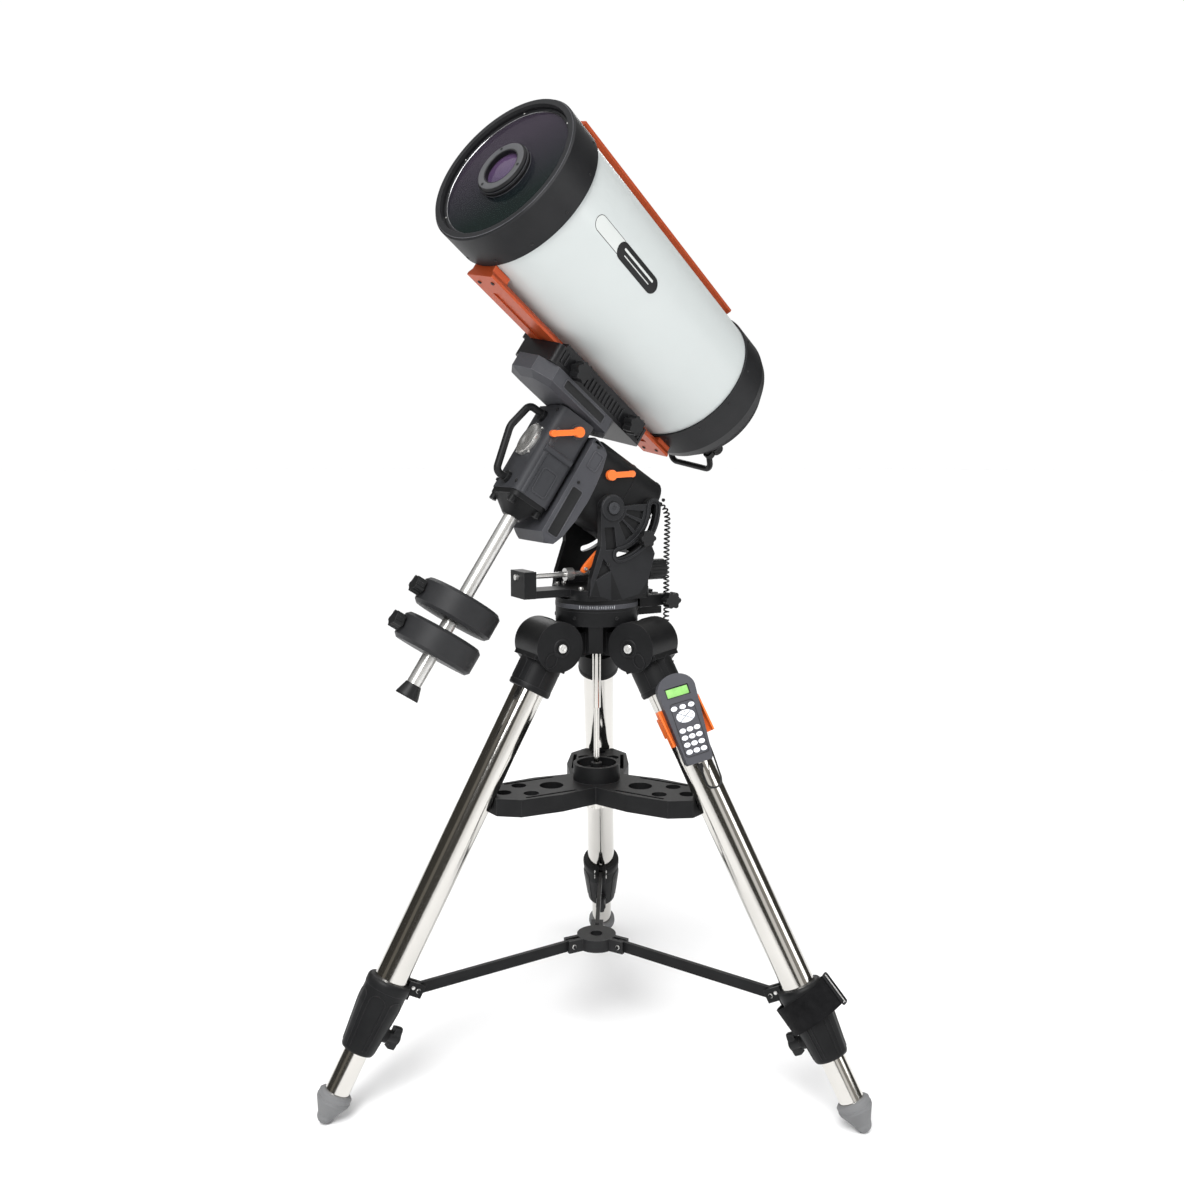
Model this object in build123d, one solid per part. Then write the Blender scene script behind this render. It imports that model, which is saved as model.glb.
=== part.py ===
"""Front-focus Schmidt astrograph on a German equatorial mount and a steel tripod.

Row frame: origin on the floor under the azimuth axis, +Z up.  The meridian plane is XZ and the
polar axis rises towards -X (north).  Sizes are in millimetres.
"""
import os
from math import cos, pi, radians, sin, tan

from build123d import *

# ---------------------------------------------------------------- driving dimensions
LATITUDE = 33.4            # altitude of the polar axis at rest
DEC_TURN = 18.0            # tube direction from the pole, about the dec axis
TUBE_CENTRE = Vector(80.0, 0.0, 1657.0)
AXIS_OFFSET = 357.0        # from the tube axis to the polar axis, along the dec axis

TUBE_R = 160.0
RING_R = 165.0
TUBE_FRONT = 452.0         # ahead of the tube centre
TUBE_REAR = -386.0
WHITE_REAR = -244.0
WALL = 2.5
LENS_R = 57.0
BAFFLE_R = 22.0
MIRROR_R = 145.0
RAIL_HALF = 38.0

PIVOT_X = -10.0            # altitude pivot
PIVOT_Z = 1245.0
SLOT_R = 100.0
CLAMP_DOWN = 41.0          # clamp bolt below horizontal, at rest
CHEEK_IN = 73.0
CHEEK_OUT = 89.0

BAR_R = 15.875
WEIGHT_R = 87.5
WEIGHT_T = 58.0
WEIGHT_H = (-381.0, -462.0)
BAR_END = -587.0

FOOT_R = 640.0             # foot circle
LEG_TILT = 29.0
LEG_AZIMUTHS = (180.0, -60.0, 60.0)
UPPER_R = 35.0
LOWER_R = 26.0
PIVOT_L = 1086.0           # distances along a leg from the floor
PIVOT_R = FOOT_R - PIVOT_L * sin(radians(LEG_TILT))
PIVOT_UP = PIVOT_L * cos(radians(LEG_TILT))
CROWN_L = 979.0
COLLAR_TOP = 317.0
COLLAR_LOW = 162.0

HEAD_TOP = 1024.0
HEAD_R = 90.0
BASE_TOP = 1050.0
PLATE_TOP = 1072.0

CORD_COIL_R = 7.5
CORD_R = 1.95
FIT = 0.05                 # radial running clearance

# ---------------------------------------------------------------- frames
lat = radians(LATITUDE)
POLE = Vector(-cos(lat), 0, sin(lat))
DEC = Vector(sin(lat), 0, cos(lat))
EAST = DEC.cross(POLE)
turn = radians(DEC_TURN)
OPTIC = POLE * cos(turn) + EAST * sin(turn)
CROSSING = TUBE_CENTRE - DEC * AXIS_OFFSET

TUBE = Plane(origin=TUBE_CENTRE, x_dir=DEC, z_dir=OPTIC)
SADDLE = Plane(origin=CROSSING, x_dir=OPTIC, z_dir=DEC)
DECF = Plane(origin=CROSSING, x_dir=POLE, z_dir=DEC)
RAF = Plane(origin=CROSSING, x_dir=DEC, z_dir=POLE)


def leg_frame(azimuth):
    """Frame of one leg: z up along it, x square to it and outward, origin on the floor."""
    a = radians(azimuth)
    t = radians(LEG_TILT)
    out = Vector(cos(a), sin(a), 0)
    up = out * (-sin(t)) + Vector(0, 0, cos(t))
    square = out * cos(t) + Vector(0, 0, sin(t))
    return Plane(origin=out * FOOT_R, x_dir=square, z_dir=up)


LEGS = [leg_frame(a) for a in LEG_AZIMUTHS]


def polar_plane(azimuth):
    a = radians(azimuth)
    return Plane(origin=(0, 0, 0), x_dir=(cos(a), sin(a), 0), z_dir=(0, 0, 1))


# ---------------------------------------------------------------- shape helpers
def put(plane, shape):
    return plane.location * shape


def cyl(r, z0, z1, x=0.0, y=0.0):
    return Pos(x, y, z0) * Cylinder(r, z1 - z0, align=(Align.CENTER, Align.CENTER, Align.MIN))


def cyl_y(r, y0, y1, x=0.0, z=0.0):
    body = Cylinder(r, y1 - y0, align=(Align.CENTER, Align.CENTER, Align.MIN))
    return Pos(x, y0, z) * Rot(-90, 0, 0) * body


def cyl_x(r, x0, x1, y=0.0, z=0.0):
    body = Cylinder(r, x1 - x0, align=(Align.CENTER, Align.CENTER, Align.MIN))
    return Pos(x0, y, z) * Rot(0, 90, 0) * body


def block(x0, x1, y0, y1, z0, z1):
    return Pos((x0 + x1) / 2, (y0 + y1) / 2, (z0 + z1) / 2) * Box(x1 - x0, y1 - y0, z1 - z0)


def slab(width, depth, corner, z0, z1, x=0.0, y=0.0):
    """Rounded rectangle extruded along z."""
    return Pos(x, y, z0) * extrude(RectangleRounded(width, depth, corner), z1 - z0)


def turned(points):
    """Solid of revolution about z from (radius, z) points."""
    face = Plane.XZ * make_face(Polyline(*points, close=True))
    return revolve(face, Axis.Z, 360)


def prism_y(points, y0, y1):
    """Polygon of (x, z) points extruded along +y."""
    face = make_face(Polyline(*points, close=True))
    body = extrude(face, y1 - y0)
    return Pos(0, y1, 0) * Rot(90, 0, 0) * body


def prism_z(points, z0, z1):
    return Pos(0, 0, z0) * extrude(make_face(Polyline(*points, close=True)), z1 - z0)


def lobed(r, lobes, z0, z1):
    """Grip knob head: a disc with round lobes, about z."""
    body = cyl(r * 0.80, z0, z1)
    for i in range(lobes):
        a = 2 * pi * i / lobes
        body += cyl(r * 0.30, z0, z1, r * 0.70 * cos(a), r * 0.70 * sin(a))
    return body


def pipe(points, radii, r):
    """Round tube along straight runs joined by tangent arcs."""
    path = FilletPolyline(*points, radius=radii)
    start = Plane(origin=path @ 0, z_dir=path % 0)
    return sweep(start * Circle(r), path=path)


def arc_radii(points, most=1e9):
    """Arc at each corner: 0.45 of the shorter run over the tangent of half the turn."""
    radii = []
    for a, b, c in zip(points, points[1:], points[2:]):
        u = b - a
        v = c - b
        half = radians(u.get_angle(v)) / 2
        radii.append(min(most, 0.45 * min(u.length, v.length) / tan(half)))
    return radii


def save(name, shape):
    shape.label = name
    export_step(shape, "parts/" + name + ".step")


# ---------------------------------------------------------------- optical tube
def ota_tube():
    return put(TUBE, cyl(TUBE_R, WHITE_REAR, 420) - cyl(TUBE_R - WALL, WHITE_REAR - 1, 421))


def front_ring():
    profile = [(TUBE_R, 374), (RING_R, 374), (RING_R, 448), (161, TUBE_FRONT), (151, TUBE_FRONT),
               (149, 446), (149, 432), (143, 432), (143, 420), (TUBE_R, 420)]
    return put(TUBE, turned(profile))


def corrector_plate():
    return put(TUBE, cyl(148.9, 432, 438) - cyl(52.1, 431, 439))


def lens_barrel():
    profile = [(38, 456), (54, 456), (LENS_R, 452), (LENS_R, 438), (52, 438), (52, 330), (46, 330),
               (46, 446), (38, 446)]
    return put(TUBE, turned(profile))


def lens_front():
    profile = [(0, 435), (45.9, 437.5), (45.9, 446), (38, 446), (20, 448.2), (0, 449)]
    return put(TUBE, turned(profile))


def rear_cell():
    profile = [(TUBE_R, -230), (RING_R, -230), (RING_R, -305), (158, -330), (135, -362), (95, -382),
               (60, TUBE_REAR), (BAFFLE_R, TUBE_REAR), (BAFFLE_R, -380), (60, -380), (92, -376),
               (130, -356.5), (152, -326), (157.5, -304), (157.5, WHITE_REAR), (TUBE_R, WHITE_REAR)]
    return put(TUBE, turned(profile) - cyl(4.0 + FIT, -395, -360, *FOCUS_XY))


def baffle_tube():
    return put(TUBE, cyl(BAFFLE_R, TUBE_REAR, -150) - cyl(BAFFLE_R - 3, TUBE_REAR - 1, -149))


FOCUS_XY = (-88.0, -52.0)


def primary_mirror():
    """Concave annulus on a sleeve that slides along the baffle tube."""
    profile = [(BAFFLE_R + FIT, -330), (34, -330), (34, -318), (100, -318), (MIRROR_R, -308),
               (MIRROR_R, -285), (110, -288.6), (75, -291.2), (40, -293), (34, -293),
               (34, -284), (BAFFLE_R + FIT, -284)]
    return put(TUBE, turned(profile) - cyl(4.0 + FIT, -340, -280, *FOCUS_XY))


def focus_knob():
    surface = -386.4
    head = cyl(14, surface - 18, surface) - cyl(9, surface - 19, surface - 15)
    for i in range(24):
        a = 2 * pi * i / 24
        head -= cyl(0.9, surface - 16, surface - 3, 14.2 * cos(a), 14.2 * sin(a))
    return put(TUBE, Pos(*FOCUS_XY, 0) * (head + cyl(4.0, surface, -300)))


def rear_handle():
    points = [Vector(-108, -62, -362), Vector(-140, -62, -404), Vector(-140, 62, -404),
              Vector(-108, 62, -362)]
    bow = pipe(points, [16, 16], 7)
    pads = cyl(12, -380, -366.2, -115, -62) + cyl(12, -380, -366.2, -115, 62)
    return put(TUBE, bow + pads)


def rail(sign, low, high, z0, z1):
    """Bevelled rail with two pads that carry it off the tube; sign is the side of the tube."""
    tip = high - low
    half = RAIL_HALF
    section = [(low, -half + 7), (low, half - 7), (low + tip * 0.62, half), (high, half),
               (high, -half), (low + tip * 0.62, -half)]
    body = prism_z([(sign * a, b) for a, b in section], z0, z1)
    body -= block(sign * high - 3, sign * high + 3, -12, 12, z0 + 55, z1 - 55)
    for z in (z0, z1 - 44):
        pad = block(*sorted((sign * (low - 13), sign * low)), -half + 7, half - 7, z, z + 44)
        body += pad - cyl(TUBE_R + 0.02, z - 1, z + 45)
    return body


def dovetail_rail():
    return put(TUBE, rail(-1, 172, 186, -280, 372) - cyl(RING_R + 0.3, -300, -229.7))


def accessory_rail():
    return put(TUBE, rail(1, 168, 181, -228, 372))


# ---------------------------------------------------------------- saddle
SADDLE_LOW = 130.0
RAIL_BOTTOM = AXIS_OFFSET - 186.0


def saddle():
    """Clamp body: floor under the rail, a fixed jaw on the far side, bosses for the two screws."""
    top = RAIL_BOTTOM + 9
    body = slab(330, 124, 14, SADDLE_LOW, RAIL_BOTTOM - 0.3)
    body += block(-165, 165, -62, -39.2, RAIL_BOTTOM - 2, top)
    body -= block(-150, 150, 40, 70, 138, RAIL_BOTTOM)
    for x in (-100, 100):
        body -= cyl_y(5 + FIT, -50, 80, x, 150)
        body -= cyl(6, SADDLE_LOW - 1, SADDLE_LOW + 8, x * 0.45, 0)
    for x in (-52, 0, 52):
        body -= block(x - 17, x + 17, -40, 30, RAIL_BOTTOM - 9, RAIL_BOTTOM + 1)
    return put(SADDLE, body)


def saddle_jaw():
    """Moving jaw: a bar beside the rail, squeezed by the two screws."""
    body = block(-148, 148, 41, 60, 138.5, RAIL_BOTTOM + 9)
    body -= block(-149, 149, 40, 41.5, RAIL_BOTTOM, RAIL_BOTTOM + 10)
    for x in (-100, 100):
        body -= cyl_y(5 + FIT, 30, 70, x, 150)
    return put(SADDLE, body)


def saddle_knob(x):
    head = Pos(x, 66, 150) * Rot(-90, 0, 0) * lobed(21, 6, 0, 24)
    return put(SADDLE, head + cyl_y(5, -40, 66, x, 150) + cyl_y(9, 60.4, 66, x, 150))


# ---------------------------------------------------------------- declination unit
def dec_axle():
    return put(DECF, cyl(20, 41, SADDLE_LOW - 4) + cyl(50, SADDLE_LOW - 4, SADDLE_LOW))


def dec_wheel():
    """Worm wheel on a sleeve that stands on the dec housing; the worm runs round it."""
    body = cyl(26, 86, 118) + cyl(33.5, 104, 118)
    for i in range(72):
        a = 2 * pi * i / 72
        body -= cyl(0.9, 103, 119, 33.7 * cos(a), 33.7 * sin(a))
    return body - cyl(20 + FIT, 40, 120)


def dec_housing():
    """Main casting below the dec cover, crossed by the polar shaft."""
    body = slab(90, 124, 16, -115, 86, 5, 0)
    body -= cyl(20 + FIT, 40, 87)
    body += dec_wheel()
    body -= cyl_x(20.02, -50, 60)
    body -= block(-28, 40, -50, 50, -100, -32)
    for y in (-62, 62):
        body += cyl_x(8, -30, 40, y, -8) - cyl_x(20.02, -50, 60)
        body += cyl(7, -113, 40, 30, y * 0.93)
    body += cyl_x(44, 44, 50.0) - cyl_x(20.02, 40, 60)
    body += cyl_y(15, 60, 66, -6, 56)
    body -= cyl_y(5 + FIT, 44, 70, -6, 56)
    return put(DECF, body)


def dec_bell():
    """Tapered lower casting that takes the counterweight bar."""
    body = slab(88, 122, 20, -126, -115.02, 5, 0)
    lower = Pos(0, 0, -158) * Circle(21)
    upper = Pos(4, 0, -126) * RectangleRounded(86, 118, 30)
    body += loft([lower, upper])
    for x in (-28, 38):
        for y in (-46, 46):
            body += cyl(8, -140, -115.02, x, y)
    return put(DECF, body - cyl(BAR_R + 0.02, -170, -120))


def hull(x0, x1, half, corner, z):
    """Plan of the drive cover at one height: a rectangle whose corners are cut off."""
    pts = [(x0, half - corner), (x0 + corner, half), (x1 - corner, half), (x1, half - corner),
           (x1, corner - half), (x1 - corner, -half), (x0 + corner, -half), (x0, corner - half)]
    return Pos(0, 0, z) * make_face(Polyline(*pts, close=True))


def dec_cover():
    """Boat-shaped cover under the saddle, over the dec worm and its motor; it turns with them."""
    body = extrude(hull(-88, 176, 64, 34, 98), SADDLE_LOW - 0.02 - 98)
    body += loft([hull(-70, 150, 46, 26, 90.5), hull(-88, 176, 64, 34, 98)])
    body -= extrude(hull(-84, 172, 60, 32, 98), SADDLE_LOW - 4 - 98)
    return put(SADDLE, body - cyl(50.02, 120, SADDLE_LOW + 1) - cyl(28, 80, 100))


def dec_worm():
    body = cyl_y(6, -40, 40, 42, 111) + cyl_y(7.6, -16, 16, 42, 111) + cyl_y(12, -38, -30, 42, 111)
    return put(SADDLE, body)


def dec_motor():
    body = Pos(104, 0, 111) * Rot(0, 90, 0) * (slab(25, 56, 4, 0, 46) + cyl(4, -10, 0))
    return put(SADDLE, body)


def carry_handle():
    points = [Vector(45, 0, 61), Vector(90, 0, 60), Vector(104, 0, 0), Vector(80, 0, -98),
              Vector(46, 0, -92)]
    bow = pipe(points, [14, 40, 16], 8)
    feet = cyl_x(13, 50.02, 58, 0, 58) + cyl_x(13, 50.02, 58, 0, -92)
    return put(DECF, bow + feet - block(20, 50.0, -20, 20, -130, 80))


def lever(x, z, y0, y1, length, angle, plane, stem):
    """Flat clutch lever on a stem, turning about the plane's y axis; y1 is the outer face."""
    arm = Pos(x, 0, z) * Rot(0, -angle, 0)
    low = min(y0, y1)
    high = max(y0, y1)
    bar = block(0, length - 7, low, high, -6, 6) + cyl_y(11, low, high)
    bar += cyl_y(7, low, high, length - 7)
    bar += cyl_y(5, *sorted((y0, stem)))
    return put(plane, arm * bar)


def dec_lever():
    return lever(-6, 56, 66.4, 78, 66, -36, DECF, 45)


def counterweight_bar():
    return put(DECF, cyl(BAR_R, BAR_END + 14, -121))


def bar_end_stop():
    profile = [(0, BAR_END), (25, BAR_END), (25, BAR_END + 4), (17, BAR_END + 30),
               (BAR_R + 0.01, BAR_END + 30), (BAR_R + 0.01, BAR_END + 14), (0, BAR_END + 14)]
    return put(DECF, turned(profile))


def weight(centre):
    low = centre - WEIGHT_T / 2
    top = centre + WEIGHT_T / 2
    edge = WEIGHT_R
    profile = [(BAR_R + FIT, low), (edge - 7, low), (edge, low + 7), (edge, top - 7),
               (edge - 7, top), (BAR_R + FIT, top)]
    return put(DECF, turned(profile) - cyl_x(5 + FIT, 10, 100, 0, centre))


def weight_knob(centre):
    head = Pos(92, 0, centre) * Rot(0, 90, 0) * lobed(19, 5, 0, 20)
    stem = cyl_x(5, BAR_R + 0.4, 92, 0, centre) + cyl_x(10, 88, 92, 0, centre)
    return put(DECF, head + stem)


# ---------------------------------------------------------------- polar unit
def ra_axle():
    """Hollow polar shaft with its front flange and worm wheel."""
    body = cyl(20, -238, 50) + cyl(37, 50.02, 57) + cyl(20, 49, 52) + cyl(56, -146, -130)
    for i in range(90):
        a = 2 * pi * i / 90
        body -= cyl(0.9, -147, -129, 56.2 * cos(a), 56.2 * sin(a))
    return put(RAF, body - cyl(9, -239, 58))


SWEEP_R = 88.5

POLAR_COVER = [(60, -46), (75, -54), (76, -66), (68, -80), (54, -88), (21, -97), (-10, -101),
               (-48, -104), (-100, -101), (-144, -93), (-168, -83), (-176, -66), (-160, -46)]
POLAR_HOLLOW = [(58, -50), (70, -57), (71, -66), (64, -76), (52, -83), (20, -92), (-10, -96),
                (-48, -99), (-98, -96), (-142, -88), (-163, -79), (-170, -66), (-157, -50)]


def ra_cover():
    """Front casting of the polar unit: a bowed plate across the shaft that hangs below it."""
    body = prism_y(POLAR_COVER, -69, 69)
    ends = extrude(RectangleRounded(254, 138, 16), 70)
    body &= Pos(-50, 0, -110) * ends
    # the turning drive cover passes over the upper end, so its corners stay inside a circle
    body -= block(0, 90, -80, 80, -120, -30) - cyl(SWEEP_R, -121, -29)
    body -= prism_y(POLAR_HOLLOW, -63, 63)
    body += cyl(34, -92, -50) - cyl(30, -93, -49)
    return put(RAF, body - cyl(20 + FIT, -120, -30))


def ra_housing():
    """Rear casting of the polar unit, between the fork cheeks."""
    rear = -250
    body = Pos(0, 0, rear) * extrude(RectangleRounded(170, 138, 52), -84 - rear)
    body -= prism_y(POLAR_COVER, -80, 80)
    body -= Pos(0, 0, -170) * extrude(RectangleRounded(156, 124, 46), 60)
    body -= Pos(0, 0, -236) * extrude(RectangleRounded(150, 118, 44), 56)
    body -= cyl(20 + FIT, -260, -80)
    body += block(-84, -34, -55, 55, -266, -240)
    body += block(44, 78, -22, 22, -262, -249)
    body = put(RAF, body)
    body += cyl_y(14, -94, -68, PIVOT_X, PIVOT_Z) + cyl_y(14, 68, 94, PIVOT_X, PIVOT_Z)
    body += cyl_y(26, -72.6, -68, PIVOT_X, PIVOT_Z) + cyl_y(26, 68, 72.6, PIVOT_X, PIVOT_Z)
    body -= cyl_y(6 + FIT, -80, 80, *clamp_centre())
    return body - put(RAF, cyl_y(5 + FIT, -75, -60, 23, -118))


def clamp_centre():
    a = radians(CLAMP_DOWN)
    return (PIVOT_X + SLOT_R * cos(a), PIVOT_Z - SLOT_R * sin(a))


def ra_motor():
    body = slab(44, 44, 5, -81.5, -54, -108, 0) + cyl(4, -54, -51.3, -108, 0)
    return put(RAF, body)


def ra_worm():
    """Worm below the wheel, across the polar axis."""
    body = cyl_y(5, -40, 40, -64.5, -138) + cyl_y(7.6, -16, 16, -64.5, -138)
    return put(RAF, body + cyl_y(9, 24, 32, -64.5, -138))


def ra_lever():
    local = Plane(origin=CROSSING, x_dir=-POLE, z_dir=DEC)
    return lever(118, 23, -69.4, -80, 56, 36, local, -61)


def alt_clamp():
    x, z = clamp_centre()
    body = cyl_y(6, -96, 96, x, z)
    for side in (-1, 1):
        head = Rot(90 * side, 0, 0) * lobed(18, 6, 94, 112)
        body += Pos(x, 0, z) * head
        body += cyl_y(11, *sorted((side * (CHEEK_OUT + 0.4), side * 94)), x, z)
    return body


# ---------------------------------------------------------------- fork and azimuth base
def arc_slot(r, half, a0, a1):
    """Curved slot about the altitude pivot, as an (x, z) face in a sketch."""
    ring = Circle(r + half) - Circle(r - half)
    wedge = [(0, 0)]
    for i in range(9):
        a = radians(a0 + (a1 - a0) * i / 8)
        wedge.append((3 * r * cos(a), 3 * r * sin(a)))
    face = ring & make_face(Polyline(*wedge, close=True))
    for a in (radians(a0), radians(a1)):
        face += Pos(r * cos(a), r * sin(a)) * Circle(half)
    return face


def cheek_face():
    low = BASE_TOP + 10 - PIVOT_Z
    outline = [(-55, low), (-50, low + 40), (-28, -80), (-27, 0), (0, 0), (60, 6), (118, 6),
               (112, -36), (92, -74), (104, -100), (88, low + 30), (86, low)]
    face = make_face(Polyline(*outline, close=True)) + Circle(28)
    face += arc_slot(SLOT_R, 18, -81, 0)
    return face - arc_slot(SLOT_R, 6.6, -81, 0) - Circle(14 + FIT)


def pocket_face():
    """Weight-saving recesses between the radial ribs of a cheek."""
    pockets = []
    for a0, a1 in ((-20, -6), (-42, -26), (-65, -48)):
        corners = ((34, a0), (76, a0), (76, a1), (34, a1))
        pts = [(r * cos(radians(a)), r * sin(radians(a))) for r, a in corners]
        pockets.append(make_face(Polyline(*pts, close=True)))
    pockets.append(make_face(Polyline((-20, -40), (4, -40), (10, -88), (-16, -88), close=True)))
    pockets.append(make_face(Polyline((-40, -150), (-22, -104), (-4, -132), close=True)))
    return pockets


def fork():
    disc = cyl(HEAD_R, HEAD_TOP + 0.3, BASE_TOP) - cyl(12 + FIT, HEAD_TOP - 1, 1042)
    plate = slab(176, 178, 40, BASE_TOP, PLATE_TOP, 8, 0)
    arm = block(-186, -70, -32, 32, 1056, PLATE_TOP) + block(-190, -162, -34, 34, 1056, 1113)
    body = disc + plate + arm
    face = cheek_face()
    for y0, y1, out in ((-CHEEK_OUT, -CHEEK_IN, -CHEEK_OUT), (CHEEK_IN, CHEEK_OUT, CHEEK_OUT - 5)):
        cheek = Pos(PIVOT_X, y1, PIVOT_Z) * Rot(90, 0, 0) * extrude(face, y1 - y0)
        for pocket in pocket_face():
            cheek -= Pos(PIVOT_X, out + 5, PIVOT_Z) * Rot(90, 0, 0) * extrude(pocket, 5)
        body += cheek
    for side in (-1, 1):
        body += block(78, 164, *sorted((side * 34, side * 54)), 1026, 1050)
        body -= cyl_y(5 + FIT, *sorted((side * 30, side * 60)), 148, 1038)
    body -= cyl_x(6 + FIT, -200, -150, 0, 1100)
    return body


def az_knob(side):
    head = Pos(148, 0, 1038) * Rot(-90 * side, 0, 0) * lobed(19, 6, 60, 82)
    stem = cyl_y(5, *sorted((side * 18, side * 62)), 148, 1038)
    return head + stem + cyl_y(9, *sorted((side * 54.4, side * 60)), 148, 1038)


def alt_adjuster():
    """Long screw through the fork; its knob stands at the rear."""
    body = cyl_x(6, -196, 124, 0, 1100) + cyl_x(23, 124, 168, 0, 1100)
    for i in range(16):
        a = 2 * pi * i / 16
        body -= cyl_x(2, 128, 164, 23.6 * cos(a), 1100 + 23.6 * sin(a))
    return body + cyl_x(11, -160, -150, 0, 1100) + cyl_x(14, -78, -60, 0, 1100)


# ---------------------------------------------------------------- tripod
def tripod_head():
    body = cyl(HEAD_R, 993, HEAD_TOP) + cyl(12, HEAD_TOP, 1040) + cyl(52, 930, 993)
    for azimuth in LEG_AZIMUTHS:
        plane = polar_plane(azimuth)
        lug = block(30, 113, -29, 29, 925, 975) + cyl_y(25, -29, 29, PIVOT_R, PIVOT_UP)
        lug += cyl_y(8, -58, 58, PIVOT_R, PIVOT_UP)
        body += put(plane, lug)
    for azimuth in (0.0, 120.0, -120.0):
        web = prism_y([(20, 930), (56, 930), (84, 993.5), (20, 993.5)], -15, 15)
        body += put(polar_plane(azimuth), web)
    body += block(80, 158, -14, 14, 1002, 1018) + cyl(8, 1017, 1048, 148, 0)
    return body - cyl(9.3, 920, 985)


def leg_crown(plane, azimuth):
    """Cast top of one leg: two ears on the pivot, a rounded hood and a socket for the tube."""
    head = cyl_y(54, -56, 56, 5, PIVOT_L)
    neck = cyl(46, CROWN_L, PIVOT_L - 10) + block(-34, 46, -50, 50, 1040, 1075)
    body = head + neck
    body -= block(-90, 30, -29.4, 29.4, 1042, 1160)
    body -= cyl(UPPER_R + 0.02, 960, 1015)
    body -= cyl(28, 1010, 1045)
    body -= cyl_y(8 + 0.02, -60, 60, 0, PIVOT_L)
    return put(plane, body) - cyl(HEAD_R + 1, 982, 1080) - cyl(66, 900, 1080)


def leg_crowns():
    return Compound([leg_crown(p, a) for p, a in zip(LEGS, LEG_AZIMUTHS)])


def leg_tubes():
    tube = cyl(UPPER_R, 300, 1015) - cyl(UPPER_R - 2.5, 299, 1016)
    return Compound([put(p, tube) for p in LEGS])


def leg_collar():
    """Lower casting with the sliding bore, the brace lug and a boss for the clamp screw."""
    profile = [(0, COLLAR_LOW), (34, COLLAR_LOW), (36, COLLAR_LOW + 4), (46, 262), (46, COLLAR_TOP - 3),
               (43, COLLAR_TOP), (0, COLLAR_TOP)]
    body = turned(profile)
    body += cyl_x(15, -48, -20, 0, 205)
    for y0, y1 in ((-14, -5.5), (5.5, 14)):
        body += block(-76, -38, y0, y1, 300, COLLAR_TOP + 11)
    body += block(-50, -36, -14, 14, 290, 305)
    body -= cyl_y(4.02, -20, 20, -64, 314) + cyl(LOWER_R + FIT, 100, 400)
    body -= cyl(UPPER_R + 0.02, 300, 400)
    return body - cyl_x(5 + FIT, -60, -20, 0, 205)


def leg_collars():
    collar = leg_collar()
    return Compound([put(p, collar) for p in LEGS])


def lower_leg(plane):
    """Inner tube with its foot: the foot's round tip rests on the floor."""
    tip = 18.0
    centre = tip / cos(radians(LEG_TILT))
    tube = cyl(LOWER_R, 60, 700) - cyl(LOWER_R - 2.5, 75, 701)
    foot = turned([(0, centre), (tip * 0.96, centre - 4), (tip, centre), (35, 50), (35, 66), (31, 70),
                   (0, 70)])
    return put(plane, foot + tube + Pos(0, 0, centre) * Sphere(tip))


def leg_knob(plane):
    stem = cyl_x(5, -58, -27.2, 0, 205)
    wing = block(-74, -58, -9, 9, 183, 227) + cyl_x(13, -76, -50, 0, 205)
    return put(plane, stem + wing)


BRACE_HUB_Z = 262.0


def brace_arms():
    bars = []
    t = radians(LEG_TILT)
    for azimuth in LEG_AZIMUTHS:
        end_r = FOOT_R - 314 * sin(t) - 64 * cos(t)
        end_z = 314 * cos(t) - 64 * sin(t)
        bar = prism_y([(64, 250), (64, 274), (end_r, end_z + 12), (end_r, end_z - 12)], -4.5, 4.5)
        bar += cyl_y(12, -4.5, 4.5, end_r, end_z) + cyl_y(12, -4.5, 4.5, 64, BRACE_HUB_Z)
        bar += cyl_y(4, -17, 17, end_r, end_z) + cyl_y(4, -17, 17, 64, BRACE_HUB_Z)
        bars.append(put(polar_plane(azimuth), bar))
    return Compound(bars)


def brace_hub():
    body = cyl(44, 248, 276) - cyl(14, 240, 280)
    for azimuth in LEG_AZIMUTHS:
        ears = block(38, 76, -14, -5, 248, 276) + block(38, 76, 5, 14, 248, 276)
        ears -= cyl_y(4.02, -20, 20, 64, BRACE_HUB_Z)
        body += put(polar_plane(azimuth), ears)
    return body


def centre_rod():
    body = cyl(9.25, 800, 985) + cyl(6, 572, 801)
    return body + Pos(0, 0, 0) * lobed(24, 6, 574, 599.7)


def accessory_tray():
    """Moulded shelf with three lobes that reach the legs and hold eyepieces."""
    body = cyl(52, 613, 675) + cyl(70, 600, 638)
    for azimuth in LEG_AZIMUTHS:
        plane = polar_plane(azimuth)
        outline = [(20, -58), (120, -72), (215, -66), (258, -34), (262, 0), (258, 34), (215, 66),
                   (120, 72), (20, 58)]
        body += put(plane, prism_z(outline, 600, 638))
    for azimuth in LEG_AZIMUTHS:
        plane = polar_plane(azimuth)
        cuts = cyl(26, 606, 640, 112, 0) + cyl(16.5, 595, 640, 176, -32) + cyl(16.5, 595, 640, 176, 32)
        cuts += cyl(16.5, 595, 640, 226, 0) + block(80, 200, -60, -52, 612, 640)
        cuts += block(80, 200, 52, 60, 612, 640)
        body -= put(plane, cuts)
    for plane in LEGS:
        body -= put(plane, cyl(UPPER_R + 1.5, 500, 900))
    body -= cyl(44, 655, 680) - cyl(12, 650, 681)
    return body - cyl(6.05, 560, 700)


# ---------------------------------------------------------------- hand controller
def holder_frame():
    """Frame on the right-front leg: z out of the handset's face, y up along the leg."""
    leg = LEGS[1]
    a = radians(45)
    face = leg.x_dir * cos(a) - leg.y_dir * sin(a)
    return Plane(origin=leg.origin + leg.z_dir * 905, x_dir=leg.z_dir.cross(face), z_dir=face)


HOLDER = holder_frame()
HANDSET = Plane(HOLDER.location * Location((2, 0, 49), (0, 0, -7)))


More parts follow.
